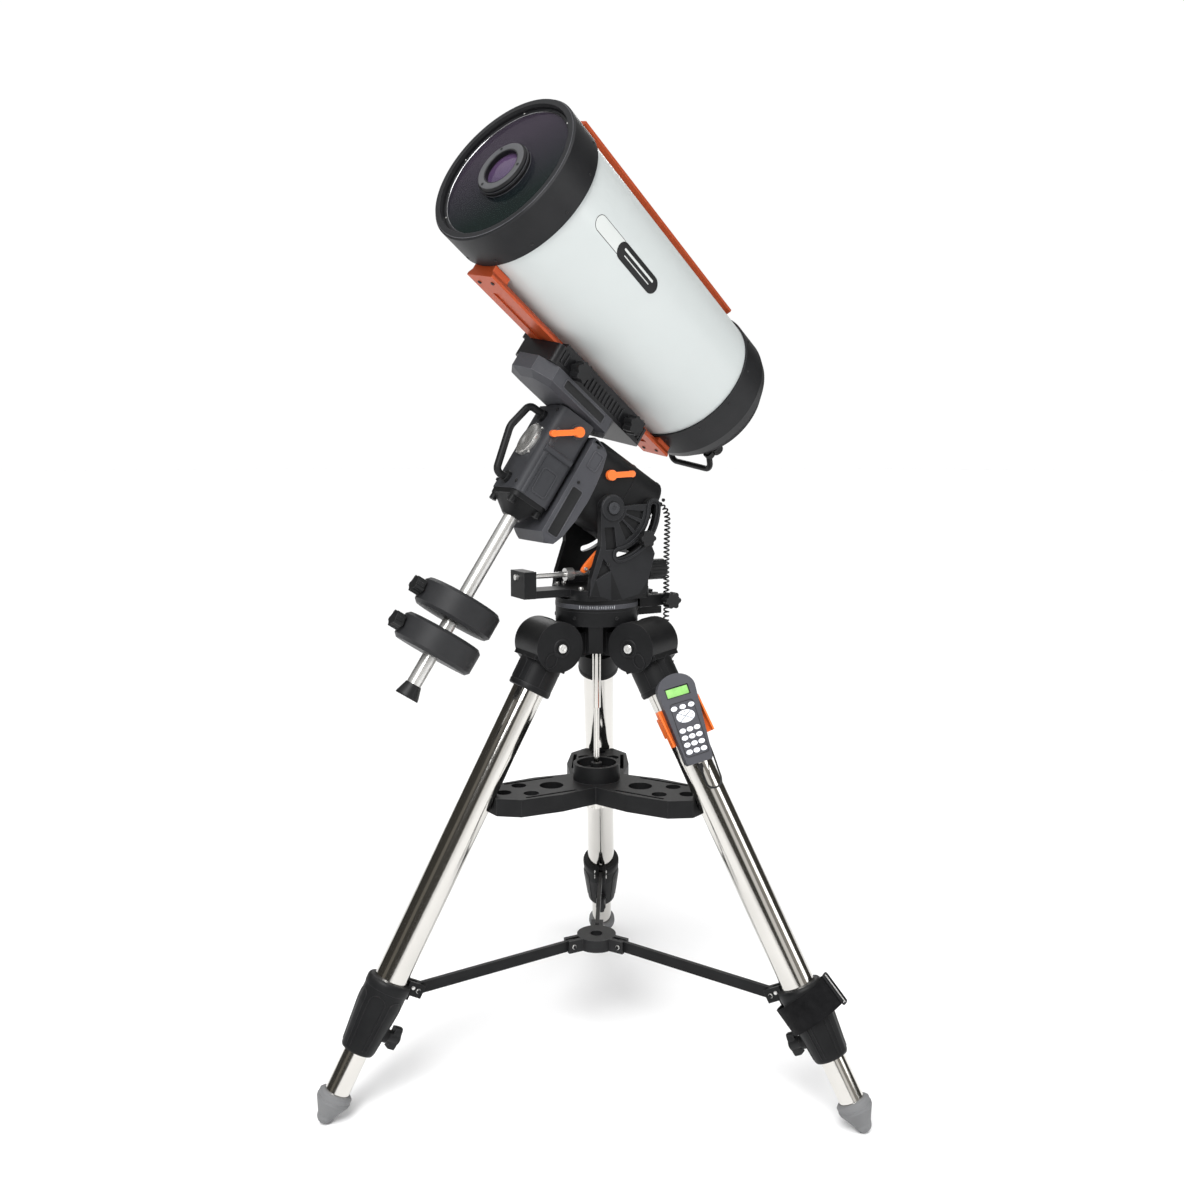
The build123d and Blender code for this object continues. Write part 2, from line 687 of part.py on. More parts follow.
def handset_holder():
    """Band round the leg with a channel bracket that grips the handset's sides."""
    band = cyl_y(UPPER_R + 4, -22, 22, 0, 0) - cyl_y(UPPER_R + 0.02, -30, 30, 0, 0)
    band += block(-14, 14, -20, 20, UPPER_R + 1, 44.5)
    channel = block(-43, 47, -45, 35, 41, 45) + block(-46, -42.5, -45, 35, 41, 64)
    channel += block(46.5, 50, -45, 35, 41, 64)
    return put(HOLDER, band + channel)


def handset_outline():
    pts = [(-41, 62), (-29, -90), (-25, -95), (25, -95), (29, -90), (41, 62)]
    face = make_face(Polyline(*pts, close=True))
    face += Pos(0, 62) * (Ellipse(41, 33) & (Pos(0, 25) * Rectangle(90, 50)))
    return face


KEY_ROW = [(x, 24) for x in (-19, 0, 19)]
KEY_GRID = [(x, y) for y in (-24, -39, -54, -69) for x in (-16, 0, 16)]


def key_faces(grow):
    faces = [Pos(x, y) * Ellipse(6.8 + grow, 5 + grow) for x, y in KEY_ROW + KEY_GRID]
    disc = Pos(0, 4) * Ellipse(20 + grow, 13 + grow)
    return faces, disc


def handset_body():
    body = extrude(handset_outline(), 24)
    pocket = Pos(0, -22, 15) * extrude(RectangleRounded(50, 112, 6), 7)
    faces, disc = key_faces(0.4)
    body -= pocket
    for face in faces + [disc]:
        body -= Pos(0, 0, 18.8) * extrude(face, 6)
    body -= Pos(0, 57, 22.5) * Box(52, 22, 5)
    body -= block(-7, 7, -96, -84, 7, 17)
    return put(HANDSET, body)


def keypad():
    """One moulded membrane with all its keys."""
    body = Pos(0, -22, 18) * extrude(RectangleRounded(49, 111, 5.6), 2)
    faces, disc = key_faces(0.0)
    for face in faces:
        body += Pos(0, 0, 20) * extrude(face, 5.5)
    quads = disc
    for lean in (33, -33):
        quads -= Pos(0, 4) * Rot(0, 0, lean) * Rectangle(60, 1.6)
    body += Pos(0, 0, 20) * extrude(quads, 5.5)
    return put(HANDSET, body)


def strap():
    """Hook-and-loop band round the right-front collar, slightly askew, with its buckle."""
    band = Pos(0, 0, -30) * extrude(Ellipse(52.5, 49.7), 60)
    band -= Pos(0, 0, -31) * extrude(Ellipse(50, 47.2), 62)
    buckle = Rot(0, 0, 25) * block(51, 58.5, -11, 11, -33, 33)
    return put(LEGS[1], Pos(0, 0, 263) * Rot(0, -6, 0) * (band + buckle))


# The cord leaves the polar housing's rear, hangs as a curly lead and comes up into the handset.
PORT = CROSSING - POLE * 262.02 + DEC * 60
COIL = [PORT - POLE * 20, Vector(165.6, 0, 1244.8), Vector(175.7, 0, 1231.6), Vector(181, 0, 1215.5),
        Vector(180.8, 0.5, 1190), Vector(179.8, 1, 1156), Vector(179, 0.5, 1120), Vector(178.5, 0, 1085),
        Vector(178, -2, 1048), Vector(174, -9, 1015), Vector(166, -21, 984), Vector(157, -37, 952),
        Vector(150, -56, 920), Vector(148, -78, 888), Vector(151, -102, 857), Vector(158, -127, 828)]
LEAD = [(51, 27, -93), (51, 2, -80), (50, -23, -66), (48, -48, -49), (45, -73, -30), (41, -98, -12),
        (37, -122, 2), (36, -142.5, 9), (25.5, -153, 11.5), (10.5, -153, 12), (0, -142.5, 12),
        (0.8, -127, 12.3), (0, -110.5, 12)]


def cord_points():
    """Centre line of the curly part and of the plain lead that goes up into the handset."""
    lead = [(HANDSET.location * Location(point)).position for point in LEAD]
    return COIL + [lead[0]], lead


def hand_cord():
    coil, lead = cord_points()
    body = None
    for points, r in ((coil, CORD_COIL_R), (lead, CORD_R)):
        radii = arc_radii(points)
        tube = pipe(points, radii, r)
        length = FilletPolyline(*points, radius=radii).length
        print("cord radius", r, "arc radii", [round(v, 1) for v in radii])
        expected = pi * r * r * length
        print("  length %.1f, volume %.0f, section x length %.0f" % (length, tube.volume, expected))
        body = tube if body is None else body + tube
    boot = Plane(origin=PORT, z_dir=-POLE)
    body += put(boot, slab(14, 12, 2, 0, 11) + cyl(4, 11, 20.2))
    end = Plane(origin=lead[-1], x_dir=HANDSET.x_dir, z_dir=HANDSET.y_dir)
    return body + put(end, cyl(4, -0.5, 4) + slab(12, 8, 2, 3, 22))


# ---------------------------------------------------------------- write the pieces
def main():
    os.makedirs("parts", exist_ok=True)
    single = (ota_tube, front_ring, corrector_plate, lens_barrel, lens_front, rear_cell, baffle_tube,
              primary_mirror, focus_knob, rear_handle, dovetail_rail, accessory_rail, saddle, saddle_jaw,
              dec_axle, dec_housing, dec_bell, dec_cover, dec_worm, dec_motor, carry_handle, dec_lever,
              counterweight_bar, bar_end_stop, ra_axle, ra_cover, ra_housing, ra_motor, ra_worm, ra_lever,
              alt_clamp, fork, alt_adjuster, tripod_head, leg_crowns, leg_tubes, leg_collars, brace_arms,
              brace_hub, centre_rod, accessory_tray, handset_holder, handset_body, keypad, strap, hand_cord)
    for make in single:
        save(make.__name__, make())
    save("saddle_knob_front", saddle_knob(100))
    save("saddle_knob_rear", saddle_knob(-100))
    save("weight_upper", weight(WEIGHT_H[0]))
    save("weight_lower", weight(WEIGHT_H[1]))
    save("weight_knob_upper", weight_knob(WEIGHT_H[0]))
    save("weight_knob_lower", weight_knob(WEIGHT_H[1]))
    save("az_knob_near", az_knob(-1))
    save("az_knob_far", az_knob(1))
    for plane, letter in zip(LEGS, "abc"):
        save("lower_leg_" + letter, lower_leg(plane))
        save("leg_knob_" + letter, leg_knob(plane))


main()
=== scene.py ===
"""Looks for the front-focus astrograph, its equatorial mount and its tripod.

Metres, in the CAD frame: origin on the floor under the azimuth axis, +Z up, pole towards -X.
"""

from math import cos, pi, radians, sin, sqrt

import bmesh
import bpy
from mathutils import Matrix, Vector


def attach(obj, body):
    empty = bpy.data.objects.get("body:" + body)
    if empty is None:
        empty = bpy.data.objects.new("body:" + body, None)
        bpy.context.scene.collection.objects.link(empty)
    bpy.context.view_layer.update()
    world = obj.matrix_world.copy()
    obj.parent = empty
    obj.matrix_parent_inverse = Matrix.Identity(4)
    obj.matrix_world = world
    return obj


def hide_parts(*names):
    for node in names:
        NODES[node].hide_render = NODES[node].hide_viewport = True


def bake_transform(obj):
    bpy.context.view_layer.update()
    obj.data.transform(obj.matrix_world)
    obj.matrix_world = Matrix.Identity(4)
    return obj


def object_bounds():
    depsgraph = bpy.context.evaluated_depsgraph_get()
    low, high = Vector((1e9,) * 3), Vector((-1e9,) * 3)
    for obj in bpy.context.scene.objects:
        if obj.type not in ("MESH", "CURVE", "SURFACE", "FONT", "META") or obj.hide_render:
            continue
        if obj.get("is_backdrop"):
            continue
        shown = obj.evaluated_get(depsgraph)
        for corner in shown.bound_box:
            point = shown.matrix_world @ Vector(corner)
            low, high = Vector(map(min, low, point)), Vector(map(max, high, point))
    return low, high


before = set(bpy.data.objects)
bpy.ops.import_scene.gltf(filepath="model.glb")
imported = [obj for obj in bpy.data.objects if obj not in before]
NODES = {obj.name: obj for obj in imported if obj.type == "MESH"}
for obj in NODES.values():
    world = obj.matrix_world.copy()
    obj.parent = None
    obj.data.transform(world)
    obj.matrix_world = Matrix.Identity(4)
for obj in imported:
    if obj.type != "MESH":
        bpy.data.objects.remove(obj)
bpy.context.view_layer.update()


# ---- frames, as in the CAD source
UP = Vector((0, 0, 1))
LAT = radians(33.4)
POLE = Vector((-cos(LAT), 0, sin(LAT)))
DEC = Vector((sin(LAT), 0, cos(LAT)))
EAST = DEC.cross(POLE)
TURN = radians(18)              # the tube is turned this far about the declination axis
OPTIC = POLE * cos(TURN) + EAST * sin(TURN)
TUBE_CENTRE = Vector((0.080, 0, 1.657))
CROSSING = TUBE_CENTRE - DEC * 0.357
PORT = CROSSING - POLE * 0.26202 + DEC * 0.060
TUBE_R = 0.160
RING_R = 0.165                  # of the front ring and the rear cell
PIVOT_X = -0.010                # the altitude pivot
PIVOT_Z = 1.245
SLOT_R = 0.100                  # from the pivot to the middle of the altitude slot
CHEEK_OUT = 0.089               # outer face of a fork cheek, from the middle
PLATE_TOP = 1.072               # top of the fork's base plate
FOOT_R = 0.640
LEG_TILT = radians(29)
LEG_AZIMUTHS = (180, -60, 60)
PIVOT_L = 1.086                 # from a leg's foot up to its hinge in the crown


def frame_at(origin, x, z):
    """4x4 matrix with the given x and z directions."""
    z = Vector(z).normalized()
    x = Vector(x)
    x = (x - z * x.dot(z)).normalized()
    y = z.cross(x)
    m = Matrix((x, y, z)).transposed().to_4x4()
    m.translation = Vector(origin)
    return m


def shifted(m, x=0.0, y=0.0, z=0.0):
    """Frame moved along its own axes."""
    return m @ Matrix.Translation((x, y, z))


def leg_frame(azimuth):
    """Frame at a foot with z up the leg and x square to it, away from the centre."""
    out = Vector((cos(radians(azimuth)), sin(radians(azimuth)), 0))
    up = out * -sin(LEG_TILT) + UP * cos(LEG_TILT)
    square = out * cos(LEG_TILT) + UP * sin(LEG_TILT)
    return frame_at(out * FOOT_R, square, up)


def holder_frame(leg):
    """Frame on the handset holder, whose face looks out between the leg's front and its side."""
    front, side, along = (leg.col[k].xyz for k in range(3))
    out = front * cos(radians(45)) - side * sin(radians(45))
    return frame_at(leg @ Vector((0, 0, 0.905)), along.cross(out), out)


TUBE = frame_at(TUBE_CENTRE, DEC, OPTIC)
TUBE_X, TUBE_Y, TUBE_Z = (TUBE.col[k].xyz for k in range(3))
SADDLE = frame_at(CROSSING, OPTIC, DEC)
SADDLE_X, SADDLE_Y = (SADDLE.col[k].xyz for k in range(2))
DECF = frame_at(CROSSING, POLE, DEC)
RAF = frame_at(CROSSING, DEC, POLE)
LEGS = [leg_frame(azimuth) for azimuth in LEG_AZIMUTHS]
HANDSET = shifted(holder_frame(LEGS[1]), 0.002, 0, 0.049) @ Matrix.Rotation(radians(-7), 4, "Z")


# ---- materials
def feed(nt, socket, value):
    """Give a socket a value, or a link from another socket."""
    if hasattr(value, "links"):
        nt.links.new(value, socket)
    else:
        socket.default_value = value


def new_node(nt, kind, **values):
    """Shader node with the given inputs or settings."""
    n = nt.nodes.new(kind)
    for key, value in values.items():
        if key in n.inputs:
            feed(nt, n.inputs[key], value)
        else:
            setattr(n, key, value)
    return n


def mixed(nt, fac, a, b):
    """Colour mix of two colours or sockets."""
    n = nt.nodes.new("ShaderNodeMix")
    n.data_type = "RGBA"
    for socket, value in ((n.inputs[0], fac), (n.inputs[6], a), (n.inputs[7], b)):
        feed(nt, socket, (*value, 1) if isinstance(value, (tuple, list)) else value)
    return n.outputs[2]


def ramp(nt, source, low, high, a=0.0, b=1.0):
    """Value that goes from a to b as the source goes from low to high."""
    n = nt.nodes.new("ShaderNodeMapRange")
    nt.links.new(source, n.inputs["Value"])
    n.inputs["From Min"].default_value = low
    n.inputs["From Max"].default_value = high
    n.inputs["To Min"].default_value = a
    n.inputs["To Max"].default_value = b
    return n.outputs[0]


def maths(nt, op, a, b=None):
    """Result of one operation on values or sockets."""
    n = nt.nodes.new("ShaderNodeMath")
    n.operation = op
    feed(nt, n.inputs[0], a)
    if b is not None:
        feed(nt, n.inputs[1], b)
    return n.outputs[0]


def surface(name, colour, rough=0.45, metal=0.0, grain=900.0, depth=0.00002, mottle=0.12,
            mottle_scale=14.0, edge=0.0006, edge_highlight=None, edge_highlight_share=0.7, rough_vary=0.1, coat=0.0,
            coat_rough=0.1, stretch=None, dust=0.0, sheen=0.0, gloss=0.22):
    """A finish with fine relief, uneven tone and a painted highlight along its edges, in the row frame's own
    metres.
    """
    m = bpy.data.materials.new(name)
    m.use_nodes = True
    nt = m.node_tree
    bsdf = nt.nodes["Principled BSDF"]
    where = nt.nodes.new("ShaderNodeTexCoord").outputs["Object"]
    vec = where
    if stretch is not None:
        mapping = nt.nodes.new("ShaderNodeMapping")
        nt.links.new(where, mapping.inputs["Vector"])
        mapping.inputs["Rotation"].default_value = stretch[0]
        mapping.inputs["Scale"].default_value = stretch[1]
        vec = mapping.outputs[0]
    fine = new_node(nt, "ShaderNodeTexNoise", Vector=vec, Scale=grain, Detail=3.0, Roughness=0.6)
    broad = new_node(nt, "ShaderNodeTexNoise", Vector=where, Scale=mottle_scale, Detail=5.0, Roughness=0.55)
    dark = [c * (1 - mottle) for c in colour]
    light = [min(1.0, c * (1 + mottle) + 0.004) for c in colour]
    tone = mixed(nt, ramp(nt, broad.outputs["Fac"], 0.3, 0.7), dark, light)
    speck = mixed(nt, ramp(nt, fine.outputs["Fac"], 0.35, 0.65, 0.0, 0.5), tone, light)
    result = speck
    rounded_normal = None
    if edge:
        bevel = new_node(nt, "ShaderNodeBevel", samples=4, Radius=edge)
        rounded_normal = bevel.outputs[0]
        # Lighter colour painted along the edges: a painted highlight where light catches them, patchy along
        # its length.
        if edge_highlight is not None:
            wide = new_node(nt, "ShaderNodeBevel", samples=4, Radius=edge * 1.3)
            geo = nt.nodes.new("ShaderNodeNewGeometry")
            dot = nt.nodes.new("ShaderNodeVectorMath")
            dot.operation = "DOT_PRODUCT"
            nt.links.new(wide.outputs[0], dot.inputs[0])
            nt.links.new(geo.outputs["Normal"], dot.inputs[1])
            highlight_edge_mask = ramp(nt, dot.outputs["Value"], 0.985, 0.86, 0.0, edge_highlight_share)
            patchy = ramp(nt, broad.outputs["Fac"], 0.3, 0.62, 0.35, 1.0)
            result = mixed(nt, maths(nt, "MULTIPLY", highlight_edge_mask, patchy), speck, edge_highlight)
    if dust:
        geo = nt.nodes.new("ShaderNodeNewGeometry")
        split = nt.nodes.new("ShaderNodeSeparateXYZ")
        nt.links.new(geo.outputs["Normal"], split.inputs[0])
        up = ramp(nt, split.outputs["Z"], 0.4, 1.0, 0.0, dust)
        soft = maths(nt, "MULTIPLY", up, ramp(nt, broad.outputs["Fac"], 0.4, 0.7, 0.3, 1.0))
        result = mixed(nt, soft, result, (0.42, 0.40, 0.37))
    nt.links.new(result, bsdf.inputs["Base Color"])
    nt.links.new(ramp(nt, fine.outputs["Fac"], 0.3, 0.7, rough - rough_vary / 2, rough + rough_vary / 2),
                 bsdf.inputs["Roughness"])
    for key, value in (("Metallic", metal), ("Specular IOR Level", gloss), ("Coat Weight", coat),
                       ("Coat Roughness", coat_rough), ("Sheen Weight", sheen)):
        bsdf.inputs[key].default_value = value
    bump = new_node(nt, "ShaderNodeBump", Strength=1.0, Distance=depth)
    nt.links.new(fine.outputs["Fac"], bump.inputs["Height"])
    if rounded_normal is not None:
        nt.links.new(rounded_normal, bump.inputs["Normal"])
    nt.links.new(bump.outputs[0], bsdf.inputs["Normal"])
    return m


def glass(name, first, second, alpha, ior=1.3, rough=0.05):
    """Coated optics: dark and half clear, with a painted reflection: the base colour drifts between two
    coating tints across the pane.
    """
    m = bpy.data.materials.new(name)
    m.use_nodes = True
    nt = m.node_tree
    bsdf = nt.nodes["Principled BSDF"]
    where = nt.nodes.new("ShaderNodeTexCoord").outputs["Object"]
    haze = new_node(nt, "ShaderNodeTexNoise", Vector=where, Scale=9.0, Detail=4.0)
    across = nt.nodes.new("ShaderNodeVectorMath")
    across.operation = "DOT_PRODUCT"
    nt.links.new(where, across.inputs[0])
    slope = (DEC * 0.8 - EAST * 0.6) * 3.2
    across.inputs[1].default_value = slope
    start = slope.dot(TUBE_CENTRE + OPTIC * 0.435)
    # Painted reflection: the pane's colour shifts from one coating tint to the other across it, in place of
    # the coating's coloured reflection.
    painted_reflection_drift = ramp(nt, across.outputs["Value"], start - 0.30, start + 0.30)
    sheen = mixed(nt, painted_reflection_drift, first, second)
    nt.links.new(sheen, bsdf.inputs["Base Color"])
    nt.links.new(ramp(nt, haze.outputs["Fac"], 0.3, 0.7, rough, rough + 0.02), bsdf.inputs["Roughness"])
    bsdf.inputs["IOR"].default_value = ior
    bsdf.inputs["Alpha"].default_value = alpha
    return m


def woven(name, colour, pitch=0.0011):
    """Close woven band: crossing ribs with a soft nap."""
    m = surface(name, colour, rough=0.85, grain=1500.0, depth=0.00008, mottle=0.25, mottle_scale=60.0,
                edge=0, sheen=0.03, gloss=0.06)
    nt = m.node_tree
    where = nt.nodes.new("ShaderNodeTexCoord").outputs["Object"]
    bump = [n for n in nt.nodes if n.type == "BUMP"][0]
    heights = []
    for direction in ("X", "Y", "Z"):
        wave = new_node(nt, "ShaderNodeTexWave", Vector=where, Scale=0.5 / pitch / 3.14, Distortion=0.6)
        wave.bands_direction = direction
        heights.append(wave.outputs["Fac"])
    total = maths(nt, "ADD", maths(nt, "ADD", heights[0], heights[1]), heights[2])
    nt.links.new(total, bump.inputs["Height"])
    bump.inputs["Distance"].default_value = 0.00012
    return m


# Each finish's lighter edge colour below is a painted highlight along its edges.
WHITE = surface("white_enamel", (0.560, 0.594, 0.588), rough=0.34, grain=420.0, depth=0.00001,
                mottle=0.015, mottle_scale=3.0, edge=0.0005, rough_vary=0.05, coat=0.25, coat_rough=0.12)
GREY = surface("grey_casting", (0.030, 0.031, 0.035), rough=0.52, grain=1300.0, depth=0.00006,
               edge=0.0012, edge_highlight=(0.16, 0.16, 0.17), edge_highlight_share=0.65)
BLACK = surface("black_casting", (0.0055, 0.0057, 0.0062), rough=0.44, grain=1200.0, depth=0.00005,
                mottle=0.15, edge=0.0012, edge_highlight=(0.08, 0.08, 0.085), edge_highlight_share=0.5, dust=0.03, gloss=0.14)
FORK = surface("fork_casting", (0.0120, 0.0124, 0.0138), rough=0.50, grain=1300.0, depth=0.00006,
               edge=0.0012, edge_highlight=(0.13, 0.13, 0.14), edge_highlight_share=0.6, gloss=0.16)
RING = surface("ring_casting", (0.0085, 0.0088, 0.0100), rough=0.44, grain=1500.0, depth=0.00004,
               mottle=0.1, edge=0.0008, edge_highlight=(0.07, 0.07, 0.075), edge_highlight_share=0.5)
COVER = surface("cover_plastic", (0.050, 0.051, 0.058), rough=0.5, grain=1700.0, depth=0.00005,
                mottle=0.08, edge=0.0012, edge_highlight=(0.20, 0.20, 0.21))
ANODISED = surface("black_anodised", (0.0065, 0.0065, 0.0075), rough=0.38, edge=0.0008,
                   edge_highlight=(0.14, 0.14, 0.14), edge_highlight_share=0.5, stretch=((0, LAT, 0), (1, 1, 0.1)))
ORANGE = surface("orange_anodised", (0.40, 0.062, 0.016), rough=0.36, metal=0.35, grain=800.0,
                 mottle=0.07, edge=0.0008, edge_highlight=(0.78, 0.22, 0.09), edge_highlight_share=0.75,
                 stretch=((0, LAT, 0), (0.05, 1, 1)))
LEVER = surface("orange_paint", (0.83, 0.155, 0.022), rough=0.38, mottle=0.06,
                edge=0.0008, edge_highlight=(0.95, 0.42, 0.20), edge_highlight_share=0.6, coat=0.25)
MIRROR = surface("mirror_coat", (0.9, 0.9, 0.9), rough=0.02, metal=1.0, grain=60.0, depth=0.0, mottle=0.02,
                 edge=0, rough_vary=0.01)
# The two colours of each glass are the tints of its painted coating reflection.
CORRECTOR = glass("corrector_glass", (0.004, 0.010, 0.009), (0.040, 0.032, 0.046), alpha=0.72, ior=1.16)
LENS = glass("lens_glass", (0.030, 0.026, 0.060), (0.110, 0.060, 0.130), alpha=0.9, ior=1.45)
FLOCK = surface("matt_black", (0.010, 0.010, 0.0115), rough=0.85, depth=0.00005,
                mottle=0.1, edge=0, gloss=0.15)
EDGE = surface("polished_edge", (0.42, 0.42, 0.43), rough=0.25, metal=1.0, depth=0.00001,
               mottle=0.05, edge=0.0003)
FACE = surface("barrel_face", (0.075, 0.076, 0.080), rough=0.6, grain=1500.0, depth=0.00006, mottle=0.10,
               edge=0.0005, edge_highlight=(0.25, 0.25, 0.25), edge_highlight_share=0.6)
LABEL = surface("label_film", (0.62, 0.645, 0.63), rough=0.3, grain=1800.0, depth=0.00001,
                mottle=0.02, edge=0.0003)
CHROME = surface("polished_steel", (0.62, 0.605, 0.575), rough=0.12, metal=1.0, grain=700.0, depth=0.000004,
                 mottle=0.06, mottle_scale=5.0, edge=0.0005, rough_vary=0.06)
STEEL = surface("brushed_steel", (0.62, 0.615, 0.60), rough=0.27, metal=0.82, grain=1600.0, depth=0.000008,
                mottle=0.06, rough_vary=0.12)
FOOT = surface("foot_plastic", (0.165, 0.167, 0.170), rough=0.55, grain=1200.0, depth=0.00003,
               mottle=0.08, edge=0.001)
BRASS = surface("turned_brass", (0.60, 0.42, 0.16), rough=0.3, metal=1.0, grain=1500.0, depth=0.00001,
                mottle=0.1, edge=0.0005)
IRON = surface("iron_powder_coat", (0.0170, 0.0172, 0.0185), rough=0.5, grain=850.0, depth=0.00010,
               mottle=0.15, edge=0.0016, edge_highlight=(0.09, 0.09, 0.09), edge_highlight_share=0.5)
PLASTIC = surface("black_plastic", (0.0070, 0.0072, 0.0078), rough=0.42, grain=1600.0, depth=0.00005,
                  mottle=0.15, edge=0.0011, edge_highlight=(0.10, 0.10, 0.10), edge_highlight_share=0.5)
TRAY = surface("tray_plastic", (0.0065, 0.0067, 0.0072), rough=0.5, grain=1300.0, depth=0.00007,
               edge=0.0010, edge_highlight=(0.11, 0.11, 0.11), edge_highlight_share=0.5, dust=0.02, gloss=0.14)
HAND_GREY = surface("handset_plastic", (0.060, 0.061, 0.070), rough=0.48, grain=1700.0, depth=0.00004,
                    mottle=0.08, edge=0.0010, edge_highlight=(0.15, 0.15, 0.16), edge_highlight_share=0.4)
KEYS = surface("key_rubber", (0.80, 0.82, 0.86), rough=0.55, grain=2200.0, depth=0.00003, mottle=0.03)
CORD_RUBBER = surface("cord_rubber", (0.010, 0.010, 0.0105), rough=0.36, grain=1400.0, depth=0.00003,
                      mottle=0.1, edge=0, rough_vary=0.12)
WEBBING = woven("webbing", (0.0045, 0.0045, 0.005))

FINISHES = (
    (WHITE, "ota_tube"),
    (RING, "front_ring rear_cell"),
    (CORRECTOR, "corrector_plate"),
    (LENS, "lens_front"),
    (MIRROR, "primary_mirror"),
    (ANODISED, "lens_barrel baffle_tube saddle saddle_jaw"),
    (ORANGE, "dovetail_rail accessory_rail"),
    (PLASTIC, "focus_knob rear_handle saddle_knob_front saddle_knob_rear carry_handle bar_end_stop"),
    (PLASTIC, "weight_knob_upper weight_knob_lower alt_clamp az_knob_near az_knob_far brace_hub"),
    (PLASTIC, "leg_knob_a leg_knob_b leg_knob_c"),
    (STEEL, "dec_axle counterweight_bar ra_axle alt_adjuster"),
    (GREY, "dec_housing"),
    (BLACK, "dec_bell dec_motor ra_housing ra_motor tripod_head leg_crowns leg_collars brace_arms"),
    (COVER, "dec_cover ra_cover"),
    (BRASS, "dec_worm ra_worm"),
    (LEVER, "dec_lever ra_lever handset_holder"),
    (IRON, "weight_upper weight_lower"),
    (FORK, "fork"),
    (CHROME, "leg_tubes centre_rod lower_leg_a lower_leg_b lower_leg_c"),
    (TRAY, "accessory_tray"),
    (HAND_GREY, "handset_body"),
    (KEYS, "keypad"),
    (WEBBING, "strap"),
    (CORD_RUBBER, "hand_cord"),
)
for finish, nodes in FINISHES:
    for node in nodes.split():
        mesh = NODES[node].data
        mesh.materials.clear()
        mesh.materials.append(finish)


# ---- mesh helpers
def place(name, data, material, body):
    """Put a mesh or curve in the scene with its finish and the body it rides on."""
    data.materials.append(material)
    obj = bpy.data.objects.new(name, data)
    bpy.context.scene.collection.objects.link(obj)
    if body:
        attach(obj, body)
    return obj


def mesh_object(name, verts, faces, material, body, slot=None):
    """Piece from points and faces, smooth except at its sharp edges."""
    data = bpy.data.meshes.new(name)
    data.from_pydata([tuple(v) for v in verts], [], faces)
    data.validate()
    bm = bmesh.new()
    bm.from_mesh(data)
    bmesh.ops.recalc_face_normals(bm, faces=bm.faces)
    bm.to_mesh(data)
    bm.free()
    data.shade_smooth()
    data.set_sharp_from_angle(angle=radians(32))
    return place(name, data, material, body)


def circle(r, n, start=0.0):
    """Evenly spaced (x, y) points on a circle, from an angle in degrees."""
    angles = [2 * pi * j / n + radians(start) for j in range(n)]
    return [(r * cos(a), r * sin(a)) for a in angles]


def skin(rings, cap=True):
    """Points and faces of a shell through equal rings, with flat ends when cap is true."""
    verts = [p for ring in rings for p in ring]
    n = len(rings[0])
    faces = []
    for i in range(len(rings) - 1):
        for j in range(n):
            k = (j + 1) % n
            faces.append((i * n + j, i * n + k, (i + 1) * n + k, (i + 1) * n + j))
    if cap:
        faces.append(tuple(range(n - 1, -1, -1)))
        faces.append(tuple((len(rings) - 1) * n + j for j in range(n)))
    return verts, faces


def turned(name, m, profile, material, body, slot=None, seg=48):
    """Body of revolution about m's z with flat ends, from (radius, z) points."""
    rings = [[m @ Vector((x, y, z)) for x, y in circle(r, seg)] for r, z in profile]
    return mesh_object(name, *skin(rings), material, body, slot)


def ring_band(name, m, profile, material, body, slot=None, seg=96):
    """Ring whose section is the closed loop of (radius, z) points."""
    n = len(profile)
    verts = []
    for c, s in circle(1.0, seg):
        verts += [m @ Vector((r * c, r * s, z)) for r, z in profile]
    faces = []
    for j in range(seg):
        for i in range(n):
            k, after = (i + 1) % n, (j + 1) % seg
            faces.append((j * n + i, j * n + k, after * n + k, after * n + i))
    return mesh_object(name, verts, faces, material, body, slot)


def loop_band(name, m, outer, inner, z0, z1, material, body, slot=None):
    """Raised flat band between two matching closed outlines of (x, y) points."""
    n = len(outer)
    verts = [m @ Vector((*p, z)) for z in (z0, z1) for p in outer]
    verts += [m @ Vector((*p, z)) for z in (z1, z0) for p in inner]
    faces = []
    for row in range(3):
        for i in range(n):
            k = (i + 1) % n
            faces.append((row * n + i, row * n + k, (row + 1) * n + k, (row + 1) * n + i))
    return mesh_object(name, verts, faces, material, body, slot)


def plate(name, m, outline, z0, z1, material, body, bevel=0.0008):
    """Flat outline of (x, y) points between z0 and z1, with rounded edges."""
    bm = bmesh.new()
    bottom = bm.faces.new([bm.verts.new(m @ Vector((x, y, z0))) for x, y in outline])
    done = bmesh.ops.extrude_face_region(bm, geom=[bottom])
    moved = [v for v in done["geom"] if isinstance(v, bmesh.types.BMVert)]
    bmesh.ops.translate(bm, verts=moved, vec=m.to_3x3() @ Vector((0, 0, z1 - z0)))
    bmesh.ops.recalc_face_normals(bm, faces=bm.faces)
    if bevel:
        sharp = [e for e in bm.edges if len(e.link_faces) == 2 and e.calc_face_angle(0) > radians(25)]
        bmesh.ops.bevel(bm, geom=sharp, offset=bevel, segments=2, profile=0.6, affect="EDGES",
                        clamp_overlap=True)
    data = bpy.data.meshes.new(name)
    bm.to_mesh(data)
    bm.free()
    data.shade_smooth()
    data.set_sharp_from_angle(angle=radians(40))
    return place(name, data, material, body)


